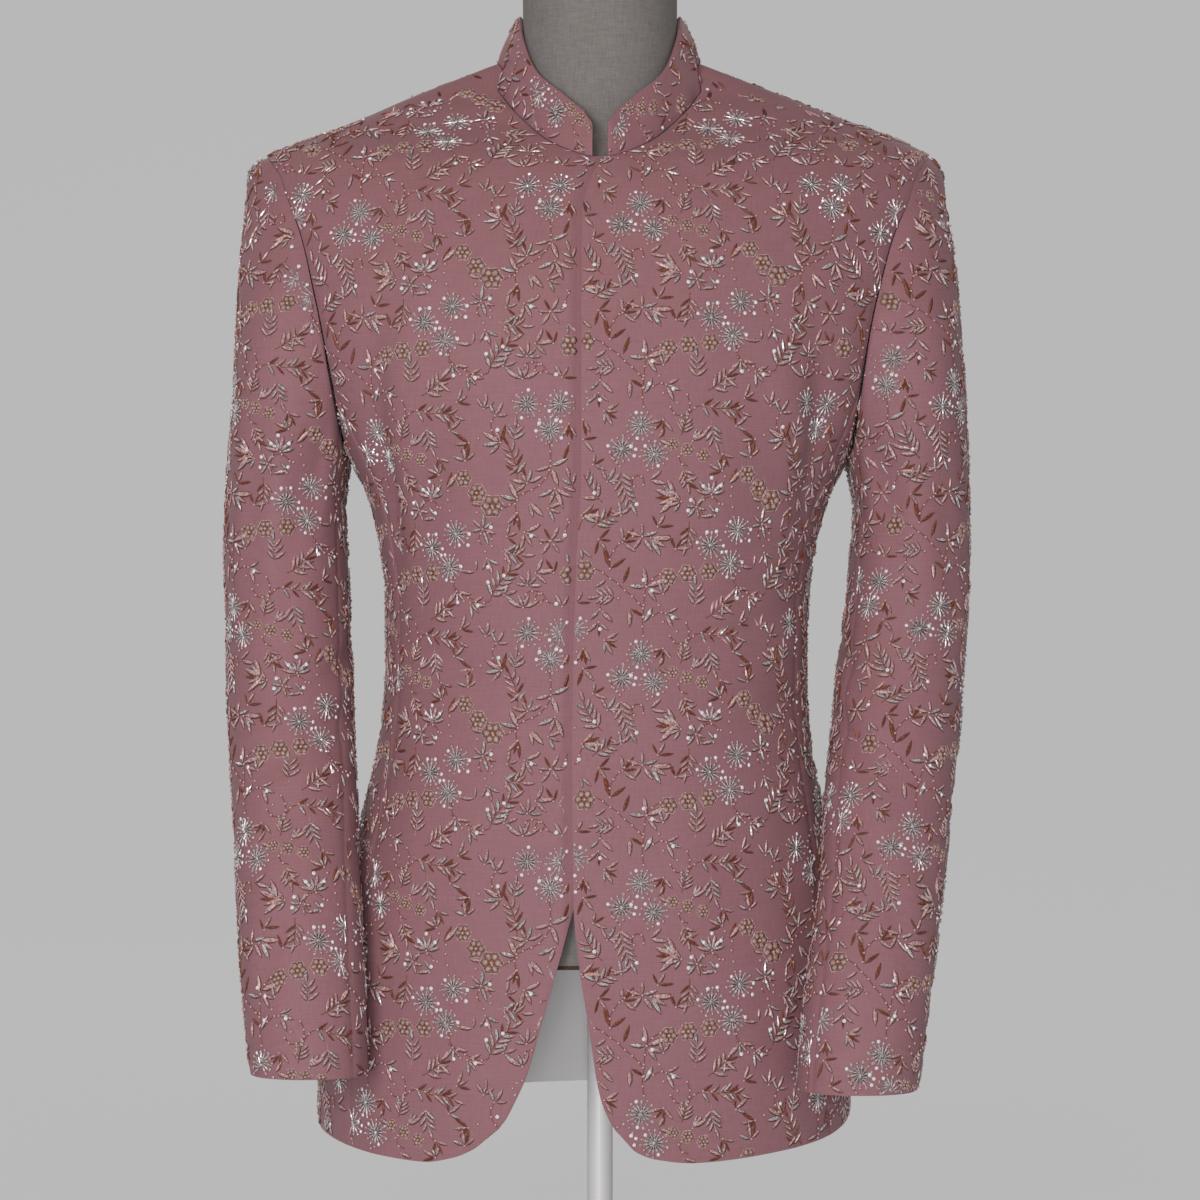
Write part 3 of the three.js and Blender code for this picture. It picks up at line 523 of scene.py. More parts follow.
def body_grids(side):
    """Turns and heights of the front, the side body and the back on one side."""
    wearer = "left" if side > 0 else "right"
    hem_table = LEFT_HEM if side > 0 else RIGHT_HEM
    front_seam = seam_edge(FRONT_SEAM_HEM, hem_table["z"][-1], SIDE_START)
    back_seam = seam_edge(BACK_SEAM_HEM, float(column(BACK_HEM, "turn", wearer, BACK_SEAM_HEM)), SIDE_END)
    inner = front_inner_edge(LEFT_EDGE if side > 0 else RIGHT_EDGE, side)
    outer = np.concatenate((front_seam, armhole_edge(SIDE_START, NECK_CORNER, 0)))

    def front_hem(u):
        turn = inner[0][0] + (FRONT_SEAM_HEM - inner[0][0]) * u
        return turn, column(hem_table, "turn", "z", turn)

    if side > 0:
        places = np.tile(eased_places(FRONT_COLUMNS), (len(inner), 1))
    else:
        places = np.array([under_lap_places(start, end) for start, end in zip(inner, outer)])
    front = panel_grid(inner, outer, front_hem, places)

    shares = eased_places(SIDE_COLUMNS)
    top = armhole(SIDE_START + (SIDE_END - SIDE_START) * shares)
    turn = FRONT_SEAM_HEM + (BACK_SEAM_HEM - FRONT_SEAM_HEM) * shares
    foot = np.stack((turn, column(BACK_HEM, "turn", wearer, turn)), -1)
    low = np.linspace(0, 1, LOW_ROWS + 1)[:, None, None]
    u = shares[None, :, None]
    line = foot[None] * (1 - low) + top[None] * low
    ends = front_seam[:, None] * (1 - u) + back_seam[:, None] * u
    flat_foot = front_seam[0] * (1 - u) + back_seam[0] * u
    flat_top = top[0] * (1 - u) + top[-1] * u
    middle = line + ends - flat_foot * (1 - low) - flat_top * low

    def back_hem(u):
        turn = 180 + (BACK_SEAM_HEM - 180) * u
        return turn, column(BACK_HEM, "turn", wearer, turn)

    back_outer = np.concatenate((back_seam, armhole_edge(SIDE_END, 360 - NECK_CORNER, 360)))
    back_places = np.tile(eased_places(BACK_COLUMNS), (len(back_outer), 1))
    back = panel_grid(back_inner_edge(), back_outer, back_hem, back_places)
    mirror = np.array((side, 1.0))
    return front * mirror, middle * mirror, back * mirror


# Sleeves and collar


def tube_point(side, angle, z):
    """A point of the plain sleeve, before it is joined to the armhole."""
    names = ("outL", "inL") if side > 0 else ("outR", "inR")
    out = column(SLEEVES, "z", names[0], z)
    half = (out - column(SLEEVES, "z", names[1], z)) / 2
    c, s = circle(angle)
    radius = oval_radius(half, column(SLEEVES, "z", "depth", z), SLEEVE_BOW, c, s)
    radius = radius + lift(SLEEVE_FOLDS, SLEEVE_MEAN_RADIUS, angle, z)
    radius = radius + lift(SLEEVE_CREASES[side], SLEEVE_MEAN_RADIUS, angle, z)
    middle = column(SLEEVES, "z", "middle", z)
    return np.stack((side * (out - half + radius * c), middle - radius * s, z), -1)


def sleeve_start(side, angle):
    """A point of the sleeve's head, just clear of the armhole's edge."""
    mirror = np.array((side, 1.0))
    here, after, before = (armhole(angle + step) * mirror for step in (0, 1, -1))
    point = body_point(here[..., 0], here[..., 1])
    tangent = unit(body_point(after[..., 0], after[..., 1]) - body_point(before[..., 0], before[..., 1]))
    out = surface_frame(body_point, here[..., 0], here[..., 1], (1, 1), BODY_STEPS)[2]
    across = unit(np.cross(out, tangent))
    centre = np.array((side * SLEEVE_CENTRE_X, 0, ARMHOLE_MIDDLE))
    facing = np.sign(np.sum(across * (centre - point), -1, keepdims=True))
    return point + across * facing * 2 * SEAM_HALF_GAP


def sleeve_point(side, angle, share):
    """Point of a sleeve: share 0 at the armhole, 1 at the cuff."""
    angle, share = np.broadcast_arrays(angle, share)
    start = sleeve_start(side, angle)
    z = start[..., 2] + (CUFF[side] - start[..., 2]) * share
    low = smoothstep(-np.cos(np.radians(angle)), ARMPIT_FROM, ARMPIT_TO)
    ease = CROWN_ROLL + CROWN_EASE * np.sin(np.radians(angle)) ** 2 + ARMPIT_EASE * low
    w = np.clip((start[..., 2] - z) / ease, 0, 1)
    blend = np.sqrt(1 - (1 - w) ** 2) * (1 - low) + w * w * (3 - 2 * w) * low
    tube = tube_point(side, angle, z)
    point = start + (tube - start) * blend[..., None]
    point[..., 2] = z
    return point


def sleeve_at_height(side, angle, z):
    """Point of a sleeve by its height instead of its share."""
    start = sleeve_start(side, angle)[..., 2]
    return sleeve_point(side, angle, (start - z) / (start - CUFF[side]))


def collar_point(turn, share):
    """Point of the collar: share 0 on the neck seam, 1 at the top edge."""
    size = np.abs(turn)
    neck_z = column(NECK, "turn", "z", size)
    foot = body_point(turn, neck_z)
    foot[..., 2] += 2 * SEAM_HALF_GAP
    reach = column(COLLAR_TOP, "turn", "reach", size)
    top = on_axis_turn(turn, reach, column(COLLAR_TOP, "turn", "z", size))
    share = np.asarray(share)[..., None]
    bow = on_axis_turn(turn, COLLAR_BOW, 0.0) * np.sin(math.pi * share)
    return foot * (1 - share) + top * share + bow


def form_radius(turn, z):
    """Radius of the dress form: the body surface kept clear of the cloth, run into the neck."""
    slope = (body_radius(turn, z + 1) - body_radius(turn, z - 1)) / 2
    room = column(FORM_CLEARANCE, "z", "gap", z) + LAP_ROOM * np.exp(-((turn / LAP_ROOM_TURN) ** 2))
    ahead, side = circle(turn)
    shift = NECK_MIDDLE + NECK_LEAN * (z - NECK_LEAN_FROM)
    neck = oval_radius(NECK_HALF_WIDTH, NECK_HALF_DEPTH, 2, side, ahead) - shift * ahead
    torso = np.where(z < FORM_SHOULDER_TOP, body_radius(turn, z) - room * np.sqrt(1 + slope * slope), 0)
    near = np.clip(NECK_FILLET - np.abs(torso - neck), 0, None) / NECK_FILLET
    return np.maximum(torso, neck) + near * near * NECK_FILLET / 4


# Charts: distance across and up the cloth, as on the flat cut, for each place of a surface

TILE_WIDTH = 197.0
TILE_HEIGHT = 163.0
TILE_MARGIN = 6.0
CHART_ROUNDS = 24
CHART_ERROR = 0.6
LEAST_SCALE = 1e-6


def run_along(points, axis):
    """Distance from the first row or column of a grid of points, step by step."""
    steps = np.linalg.norm(np.diff(points, axis=axis), axis=-1)
    start = np.zeros_like(np.take(steps, [0], axis=axis))
    return np.concatenate((start, np.cumsum(steps, axis=axis)), axis=axis)


def cloth_chart(point, a_values, b_values, signs, zero_a, zero_b):
    """Distances over a grid of a surface's own coordinates, measured from one of its places."""
    a, b = np.meshgrid(a_values, b_values)
    places = point(a, b)
    steps = np.diff(places, axis=1)
    across = run_along(places, 1) * signs[0]
    along = unit(np.concatenate((steps, steps[:, -1:]), axis=1))[:-1]
    rises = np.diff(places, axis=0)
    straight = rises - along * np.sum(rises * along, -1, keepdims=True)
    up = np.cumsum(np.linalg.norm(straight, axis=-1), axis=0) * signs[1]
    up = np.concatenate((np.zeros((1, len(a_values))), up), axis=0)
    first_column = int(np.argmin(np.abs(a_values - zero_a)))
    first_row = int(np.argmin(np.abs(b_values - zero_b)))
    across = across - across[:, first_column : first_column + 1]
    up = up - up[first_row : first_row + 1]
    return {"a": a_values, "b": b_values, "across": across, "up": up}


def cell_of(values, at):
    k = np.clip(np.searchsorted(values, at, side="right") - 1, 0, len(values) - 2)
    return k, (at - values[k]) / (values[k + 1] - values[k]), values[k + 1] - values[k]


def read_chart(chart, name, a, b):
    """Value and slopes of one of the chart's distances at places of the surface."""
    i, u, width = cell_of(chart["a"], a)
    j, v, height = cell_of(chart["b"], b)
    grid = chart[name]
    low_rise = grid[j, i + 1] - grid[j, i]
    high_rise = grid[j + 1, i + 1] - grid[j + 1, i]
    low = grid[j, i] * (1 - u) + grid[j, i + 1] * u
    high = grid[j + 1, i] * (1 - u) + grid[j + 1, i + 1] * u
    slope_a = (low_rise * (1 - v) + high_rise * v) / width
    return low * (1 - v) + high * v, slope_a, (high - low) / height


def find_places(chart, across, up):
    """Places of the surface at given distances, and which of them were found."""
    a = np.full(across.shape, np.mean(chart["a"]))
    b = np.full(across.shape, np.mean(chart["b"]))
    reach_a = (chart["a"][-1] - chart["a"][0]) / 4
    reach_b = (chart["b"][-1] - chart["b"][0]) / 4
    for _ in range(CHART_ROUNDS):
        s, s_a, s_b = read_chart(chart, "across", a, b)
        t, t_a, t_b = read_chart(chart, "up", a, b)
        scale = s_a * t_b - s_b * t_a
        scale = np.where(np.abs(scale) < LEAST_SCALE, LEAST_SCALE, scale)
        step_a = ((across - s) * t_b - (up - t) * s_b) / scale
        step_b = ((up - t) * s_a - (across - s) * t_a) / scale
        a = np.clip(a + np.clip(step_a, -reach_a, reach_a), chart["a"][0], chart["a"][-1])
        b = np.clip(b + np.clip(step_b, -reach_b, reach_b), chart["b"][0], chart["b"][-1])
    s = read_chart(chart, "across", a, b)[0]
    t = read_chart(chart, "up", a, b)[0]
    return a, b, (np.abs(s - across) < CHART_ERROR) & (np.abs(t - up) < CHART_ERROR)


def inside(border, a, b):
    """Which places lie inside a closed border."""
    found = np.zeros(a.shape, bool)
    after = np.roll(border, -1, axis=0)
    for (a0, b0), (a1, b1) in zip(border, after):
        if b0 == b1:
            continue
        crosses = (b0 > b) != (b1 > b)
        found ^= crosses & (a < (a1 - a0) * (b - b0) / (b1 - b0) + a0)
    return found


# The embroidery's repeat, charted in millimetres across and up from its lower left corner

# The last tone is a dark brown: the leaves' outline thread, and painted shade under leaves and bursts
PINK, SILVER, RUST, PEARL, CRYSTAL, CREAM, OUTLINE_AND_PAINTED_SHADE = range(7)
MIXED = (PINK, PINK, SILVER, PINK, RUST, PINK, PINK, SILVER, PINK)
RUSTY = (RUST, PINK, RUST)
SILVERY = (SILVER, PINK, SILVER)

# Ferns: foot, heading, length, pairs of leaves, length of a leaf, bend
FERNS = (
    (32, 160, -7, 18, 3, 8, -14), (28, 153, -80, 17, 3, 8, 12), (6, 141, 75, 11, 3, 7, 6),
    (6, 119, -70, 13, 3, 7.5, -10), (96, 112, 106, 26, 4, 8.5, 14), (92, 138, 78, 11, 2, 8, 8),
    (147, 93, 122, 25, 4, 9, -16), (159, 119, -73, 28, 5, 8.5, 12), (12, 80, -98, 17, 3, 7.5, -8),
    (82, 62, -10, 17, 3, 9, 10), (75, 25, 52, 29, 5, 9.5, -18), (16, 16, 88, 18, 3, 8, 10),
    (25, 10, 40, 19, 3, 9, 14), (15, 1.5, -5, 26, 3, 7.5, 16), (139, 75, 30, 17, 3, 8.5, -12),
    (158, 25, 176, 14, 3, 8, 14),
)

# Sprays: point, heading, spread, leaves, length of a leaf, tones
SPRAYS = (
    (14, 137, 50, 40, 3, 9.5, MIXED), (36, 116, 135, 120, 4, 9, MIXED),
    (28, 99, 90, 150, 6, 10.5, SILVERY), (61, 139, 205, 110, 4, 9.5, RUSTY),
    (84, 139, 150, 150, 5, 12, MIXED), (80, 158, 60, 110, 3, 9, MIXED),
    (96, 98, 140, 50, 2, 12, MIXED), (96, 89, 250, 50, 3, 10, RUSTY),
    (6, 94, 180, 110, 4, 9, MIXED), (17, 90, 200, 290, 6, 7.5, SILVERY),
    (133, 152, -90, 60, 4, 9, RUSTY), (148, 158, -30, 120, 5, 9, MIXED),
    (133, 138, -50, 120, 3, 10, RUSTY), (190, 152, -110, 120, 4, 9, RUSTY),
    (120, 122, -70, 190, 3, 12, MIXED), (103, 110, 120, 190, 5, 9.5, MIXED),
    (123, 106, -90, 130, 4, 12, MIXED), (104, 97, -60, 30, 2, 12, MIXED),
    (180, 109, 15, 50, 2, 10, MIXED), (199, 97, 170, 110, 6, 13, MIXED),
    (132, 84, 10, 70, 4, 12, MIXED), (70, 77, 60, 260, 6, 9, SILVERY),
    (88, 72, 20, 120, 3, 8, MIXED), (73, 56, -70, 90, 3, 9, MIXED),
    (49, 32, -70, 120, 4, 9, MIXED), (60, 24, -30, 110, 4, 9.5, MIXED),
    (72, 0, 80, 90, 3, 9, MIXED), (101, 75, -40, 130, 4, 10, MIXED),
    (120, 69, 90, 290, 6, 9, MIXED), (131, 61, -60, 40, 2, 8, MIXED),
    (144, 67, -30, 150, 4, 8.5, RUSTY), (161, 65, 30, 130, 4, 10, RUSTY),
    (152, 46, 70, 70, 2, 14, RUSTY), (175, 69, 90, 290, 5, 10, MIXED),
    (181, 68, -30, 60, 3, 13, MIXED), (178, 33, 60, 230, 4, 13, MIXED),
    (161, 35, 70, 20, 1, 11, RUSTY), (150, 39, 215, 20, 1, 9, MIXED),
    (145, 17, -90, 90, 2, 10, MIXED), (144, 8, -90, 100, 3, 9, MIXED),
    (166, 18, -60, 60, 2, 12, RUSTY), (176, 7, 62, 10, 1, 14, SILVERY),
    (192, 14, -20, 90, 3, 10, MIXED), (103, 37, 85, 170, 5, 9, MIXED),
    (109, 46, 10, 110, 3, 11, MIXED), (100, 21, 90, 130, 4, 10, MIXED),
    (41, 106, 55, 16, 2, 14, RUSTY), (32, 85, 160, 60, 2, 9, SILVERY),
    (60, 96, 20, 60, 2, 8, MIXED), (52, 5, 30, 80, 3, 9, MIXED),
    (58, 126, 100, 120, 3, 9, MIXED), (8, 108, 20, 90, 3, 9, RUSTY),
    (118, 92, -20, 90, 3, 9, MIXED), (150, 108, 60, 110, 3, 9, SILVERY),
    (186, 138, 20, 80, 2, 9, MIXED), (98, 124, -100, 70, 2, 10, RUSTY),
    (38, 20, -40, 110, 3, 9, MIXED), (86, 30, 20, 110, 3, 9, SILVERY),
    (128, 22, 60, 120, 3, 9, MIXED), (122, 46, 120, 90, 3, 9, RUSTY),
    (160, 84, 100, 110, 3, 9, MIXED), (92, 58, 100, 80, 2, 9, MIXED),
    (36, 128, -60, 90, 3, 8, RUSTY), (186, 76, 60, 110, 3, 9, RUSTY),
    (190, 28, 110, 100, 3, 9, MIXED), (46, 148, 40, 120, 3, 9, MIXED),
    (140, 120, 30, 100, 3, 8, MIXED), (2, 60, 60, 110, 3, 9, RUSTY),
    (64, 46, 130, 90, 2, 9, MIXED),
)

# Beaded stems, each through its own points
STEMS = (
    ((-2, 161), (3, 155), (11, 156), (16, 161), (24, 163), (32, 160)),
    ((119, 139), (120, 128), (119, 118), (116, 113), (110, 107), (101, 103), (94, 98), (96, 84)),
    ((4, 126), (6, 121), (11, 119)),
    ((84, 139), (78, 146), (77, 152), (80, 158)),
    ((47, 34), (52, 31), (60, 27), (68, 24), (75, 25)),
    ((10, 7), (12, 1), (11, -8), (4, -13)),
    ((113, 67), (120, 69), (128, 70), (131, 78), (134, 84)),
    (
        (141, 46), (146, 44), (151, 40), (157, 36), (162, 31),
        (167, 27), (172, 22), (176, 16), (175, 8), (176, -2),
    ),
    ((152, 46), (152, 52), (157, 62), (167, 69), (175, 69)),
    ((176, 20), (178, 33), (184, 40), (190, 43)),
    ((100, 21), (103, 32), (109, 33), (115, 30), (118, 25), (125, 23)),
    ((78, 92), (85, 92), (91, 95), (96, 98)),
    ((176, 12), (184, 13), (188, 15), (193, 13)),
    ((159, 119), (156, 122), (153, 128)),
    ((145, 17), (146, 23), (152, 26), (158, 25)),
    ((45, 48), (46, 40), (47, 34)),
)

# Curls: middle, radius, start and turn; bursts and rosettes: middle and width
CURLS = ((27, 90, 7.2, 20, 280), (172, 108, 4.4, -30, 260), (112, 28, 3.2, 100, 250), (72, 70, 5.0, 0, 240))
BURSTS = (
    (27.5, 62.3, 20), (49, 73.5, 20), (43, 49, 20.5), (103, 3, 20.5), (126.5, 3, 20.5),
    (119.5, 147.5, 21), (160.4, 131, 20), (183.3, 127.4, 20), (174, 148, 20.5),
)
ROSETTES = (
    (-3, 40, 12), (11, 42.5, 12.5), (26.5, 44, 12.5), (0, 134.5, 8.5), (10.6, 131, 9),
    (22, 127, 9), (56, 113.5, 12), (66, 103, 13), (77.5, 93.5, 16), (134, 44.5, 14.5),
)
CRYSTALS = (
    (28, 111), (35, 105.5), (22, 105), (13, 95), (11, 87.5), (32, 88), (112, 152.5), (124, 154.5),
    (130, 73), (106, 72.5), (171, 92), (141, 100), (59, 65.5), (60, 73.5), (25, 72), (32, 72.5),
    (53, 50), (76.5, 78.5), (74, 50), (74, 39), (86, 44), (50, 24), (66, 22), (176, 38),
    (182, 30.5), (180, 14.5), (124, 24), (145, 3), (197, 11), (167, 133), (82, 148),
)
LOOSE_BEADS = (
    (38, 112), (43.5, 104.5), (43, 98), (36.5, 92), (44.5, 90), (68, 142), (111, 80.5),
    (77, 65), (72, 61), (6, 128), (66, 89), (127, 95.5), (179, 116), (190, 8),
    (187, 20), (97, 151), (155, 107), (3, 1), (55, 25), (87, 56),
)

# Sizes in millimetres, and shares of a piece's own length or width
LEAF_WIDTH = 0.27
LEAF_WIDTH_LEAST = 2.2
LEAF_LENGTH = 1.16
LEAF_HEIGHT = 1.05
RUST_LEAF_WIDTH = 0.72
LEAF_TOP_WIDTH = 0.84
# Under each leaf, a larger dark piece shifted down and aside: partly the dark outline thread, partly painted
# shade on the leaf's lower side
LEAF_OUTLINE_SHADE = {"length": 1.08, "width": 1.32, "height": 0.45}
LEAF_SHADE_SHIFT = (0.25, -0.4)
RAISED = 0.12
FERN_LEAN = 48
FERN_LEAN_LOSS = 12
FERN_SIZE = 1.08
FERN_SIZE_LOSS = 0.35
FERN_TIP = 0.95
FERN_STEM = 0.7
SPRAY_GAP = 1.1
SPRAY_BEAD = 2.1
SPRAY_SIZE_LOSS = 0.12
BURST_SPREAD = 1.13
BURST_MIDDLE = 2.8
# The dark disc under each burst is painted shade between its spokes
BURST_PAINTED_SHADE = 0.5
BURST_SHADE_HEIGHT = 0.4
BURST_SHADE_SINK = -0.15
BURST_SPOKE = {"width": 1.5, "height": 1.2, "base": 0.2}
BURST_SPOKE_OVERLAP = 1.1
BURST_INNER = 1.3
BURST_UNEVEN = 1.4
BURST_TIPS = {CRYSTAL: 2.8, SILVER: 2.2, PEARL: 2.2}
ROSETTE_PETALS = 6
ROSETTE_RING = (0.56, 0.46)
ROSETTE_RING_WIDTH = 1.1
ROSETTE_REACH = 0.3
ROSETTE_PETAL = (0.42, 0.38)
ROSETTE_PETAL_HEIGHT = 0.9
ROSETTE_HEART = 0.3
ROSETTE_HEART_HEIGHT = 1.0
ROSETTE_BEAD = 0.22
ROSETTE_BEAD_MOST = 2.6
CURL_STEPS = 2.2
CURL_STEPS_LEAST = 8
CURL_WIDTH = 1.0
CRYSTAL_WIDTH = 3.1
BEAD = 2.3
STEM_WIDTH = 0.85
STITCH_HEIGHT = 0.7
STITCH_OVERLAP = 1.35
STEM_STEP = 2.2
BEAD_EVERY = 4.6
BEAD_FLATNESS = 0.7


def build_repeat():
    """Every small piece of one repeat: tone, middle, heading, length, width, height and its own lift."""
    rows = {"leaf": [], "stitch": [], "bead": []}

    def put(kind, tone, x, y, heading, length, width, height, base=0.0):
        rows[kind].append((tone, x, y, math.radians(heading), length, width, height, base))

    def leaf(x, y, heading, length, tone):
        """A padded leaf on a larger dark piece shifted down and aside, which shows at its edge: partly the
        dark outline thread, partly painted shade.
        """
        length = length * LEAF_LENGTH
        c, s = circle(heading)
        middle_x = x + c * length / 2
        middle_y = y + s * length / 2
        width = max(LEAF_WIDTH_LEAST, length * LEAF_WIDTH) * (RUST_LEAF_WIDTH if tone == RUST else 1)
        # The dark piece under the leaf: outline thread and painted shade
        outline_shade_x = middle_x + LEAF_SHADE_SHIFT[0]
        outline_shade_y = middle_y + LEAF_SHADE_SHIFT[1]
        outline_shade_size = (length * LEAF_OUTLINE_SHADE["length"], width * LEAF_OUTLINE_SHADE["width"], LEAF_OUTLINE_SHADE["height"])
        put("leaf", OUTLINE_AND_PAINTED_SHADE, outline_shade_x, outline_shade_y, heading, *outline_shade_size)
        put("leaf", tone, middle_x, middle_y, heading, length, width * LEAF_TOP_WIDTH, LEAF_HEIGHT, RAISED)

    def bead(x, y, width=BEAD, tone=PEARL):
        put("bead", tone, x, y, 0, width, width, width * BEAD_FLATNESS, RAISED)

    def stitches(points, width=STEM_WIDTH, tone=RUST):
        for (x0, y0), (x1, y1) in zip(points, points[1:]):
            length = math.hypot(x1 - x0, y1 - y0) * STITCH_OVERLAP
            heading = math.degrees(math.atan2(y1 - y0, x1 - x0))
            put("stitch", tone, (x0 + x1) / 2, (y0 + y1) / 2, heading, length, width, STITCH_HEIGHT)

    for number, (x, y, heading, length, pairs, leaf_length, bend) in enumerate(FERNS):
        count = 2 * pairs + 2
        points = [(x, y)]
        angle = heading - bend
        for k in range(count):
            step = length / count
            c, s = circle(angle)
            points.append((points[-1][0] + step * c, points[-1][1] + step * s))
            angle += 2 * bend / count
            if k % 2 and k < 2 * pairs + 1:
                share = k / count
                size = leaf_length * (FERN_SIZE - FERN_SIZE_LOSS * share)
                for hand in (1, -1):
                    tone = MIXED[(number * 5 + k + hand) % len(MIXED)]
                    leaf(*points[-1], angle + hand * (FERN_LEAN - FERN_LEAN_LOSS * share), size, tone)
        stitches(points, FERN_STEM, PINK if number % 2 else RUST)
        leaf(*points[-1], angle, leaf_length * FERN_TIP, MIXED[number % len(MIXED)])

    for number, (x, y, heading, spread, count, length, tones) in enumerate(SPRAYS):
        for k in range(count):
            share = k / (count - 1) - 0.5 if count > 1 else 0
            size = length * (1 - SPRAY_SIZE_LOSS * ((k + number) % 3))
            angle = heading + spread * share
            c, s = circle(angle)
            leaf(x + SPRAY_GAP * c, y + SPRAY_GAP * s, angle, size, tones[(k + number) % len(tones)])
        if count > 2:
            bead(x, y, SPRAY_BEAD)

    for stem in STEMS:
        line = smooth_line(np.array(stem, float), STEM_STEP)
        stitches([tuple(p) for p in line])
        gone = 0.0
        bead(*line[0])
        for before, after in zip(line, line[1:]):
            gone += float(np.hypot(*(after - before)))
            if gone >= BEAD_EVERY:
                bead(*after)
                gone = 0.0

    for x, y, radius, start, turn in CURLS:
        count = max(CURL_STEPS_LEAST, int(radius * CURL_STEPS))
        ring = []
        for k in range(count + 1):
            c, s = circle(start + turn * k / count)
            ring.append((x + radius * c, y + radius * s))
        stitches(ring, CURL_WIDTH)
        for point in ring[::3]:
            bead(*point)

    for number, (x, y, width) in enumerate(BURSTS):
        spokes = 13 + number % 3
        width = width * BURST_SPREAD
        # A dark disc of painted shade under the spokes
        shade_disc = width * BURST_PAINTED_SHADE
        put("bead", OUTLINE_AND_PAINTED_SHADE, x, y, 0, shade_disc, shade_disc, BURST_SHADE_HEIGHT, BURST_SHADE_SINK)
        bead(x, y, BURST_MIDDLE, SILVER)
        for k in range(spokes):
            angle = 360 * (k + 0.3 * (number % 3)) / spokes
            c, s = circle(angle)
            reach = width / 2 - BURST_INNER - BURST_UNEVEN * ((k * 5 + number) % 3) / 2
            middle = (BURST_INNER + reach) / 2
            length = reach * BURST_SPOKE_OVERLAP
            put("stitch", SILVER, x + c * middle, y + s * middle, angle, length, **BURST_SPOKE)
            tip = CRYSTAL if (k * 7 + number) % 6 == 0 else SILVER if k % 2 else PEARL
            bead(x + c * reach, y + s * reach, BURST_TIPS[tip], tip)

    for x, y, width in ROSETTES:
        ring = []
        for k in range(ROSETTE_PETALS * 2 + 1):
            c, s = circle(180 * k / ROSETTE_PETALS)
            reach = width * ROSETTE_RING[k % 2]
            ring.append((x + reach * c, y + reach * s))
        stitches(ring, ROSETTE_RING_WIDTH, PINK)
        reach = width * ROSETTE_REACH
        long, wide = (width * share for share in ROSETTE_PETAL)
        for k in range(ROSETTE_PETALS):
            angle = 360 * k / ROSETTE_PETALS
            c, s = circle(angle)
            put("bead", CREAM, x + reach * c, y + reach * s, angle, long, wide, ROSETTE_PETAL_HEIGHT)
        heart = width * ROSETTE_HEART
        put("bead", RUST, x, y, 0, heart, heart, ROSETTE_HEART_HEIGHT)
        bead(x, y, min(ROSETTE_BEAD_MOST, width * ROSETTE_BEAD), PEARL)

    for x, y in CRYSTALS:
        bead(x, y, CRYSTAL_WIDTH, CRYSTAL)
    for x, y in LOOSE_BEADS:
        bead(x, y)
    return {kind: np.array(values, float) for kind, values in rows.items()}


def smooth_line(points, step):
    """Points at an even step along a soft curve through a few points."""
    gone = np.concatenate(([0], np.cumsum(np.linalg.norm(np.diff(points, axis=0), axis=1))))
    at = np.linspace(0, gone[-1], max(2, int(round(gone[-1] / step)) + 1))
    return np.stack([through(gone, points[:, k], at) for k in (0, 1)], -1)


def round_bead(sides=6):
    """A round bead one unit wide, its lowest point at zero height."""
    turns = np.arange(sides) * 2 * math.pi / sides
    around = np.stack((np.cos(turns) / 2, np.sin(turns) / 2, np.full(sides, 0.5)), -1)
    first = np.arange(sides)
    after = (first + 1) % sides
    upper = np.stack((first, after, np.full(sides, sides)), -1)
    lower = np.stack((after, first, np.full(sides, sides + 1)), -1)
    return np.concatenate((around, ((0, 0, 1), (0, 0, 0)))), np.concatenate((upper, lower))


LEAF_POINTS = np.array(
    (
        (-0.5, 0, 0), (-0.18, -0.46, 0.1), (0.2, -0.4, 0.1), (0.5, 0, 0.1),
        (0.2, 0.4, 0.1), (-0.18, 0.46, 0.1), (-0.16, 0, 1), (0.2, 0, 0.85),
    )
)
LEAF_FACES = np.array(
    (
        (0, 1, 6), (1, 2, 7), (1, 7, 6), (2, 3, 7), (3, 4, 7), (4, 6, 7),
        (4, 5, 6), (5, 0, 6), (0, 5, 1), (5, 4, 1), (4, 2, 1), (4, 3, 2),
    )
)
STITCH_POINTS = np.array(
    ((-0.5, 0, 0.3), (0.5, 0, 0.3), (0, -0.5, 0.3), (0, 0.5, 0.3), (0, 0, 1), (0, 0, 0))
)
STITCH_FACES = np.array(
    ((0, 2, 4), (2, 1, 4), (1, 3, 4), (3, 0, 4), (2, 0, 5), (1, 2, 5), (3, 1, 5), (0, 3, 5))
)
SHAPES = {"leaf": (LEAF_POINTS, LEAF_FACES), "stitch": (STITCH_POINTS, STITCH_FACES), "bead": round_bead()}
REPEAT = build_repeat()


# Materials


def linear(code):
    """Linear colour of an sRGB hex code."""
    parts = [int(code[k : k + 2], 16) / 255 for k in (1, 3, 5)]
    return tuple(p / 12.92 if p <= 0.04045 else ((p + 0.055) / 1.055) ** 2.4 for p in parts) + (1.0,)


def add(tree, kind, settings, links=None):
    """Adds a shader node with its settings and the links into its sockets."""
    node = tree.nodes.new(kind)
    for name, value in settings.items():
        if isinstance(name, int) or name in node.inputs:
            node.inputs[name].default_value = value
        else:
            setattr(node, name, value)
    for name, source in (links or {}).items():
        tree.links.new(source, node.inputs[name])
    return node


def new_material(name):
    made = bpy.data.materials.new(name)
    made.use_nodes = True
    made.node_tree.nodes.clear()
    return made, made.node_tree


def finish_material(tree, shader):
    add(tree, "ShaderNodeOutputMaterial", {}, {"Surface": shader.outputs[0]})


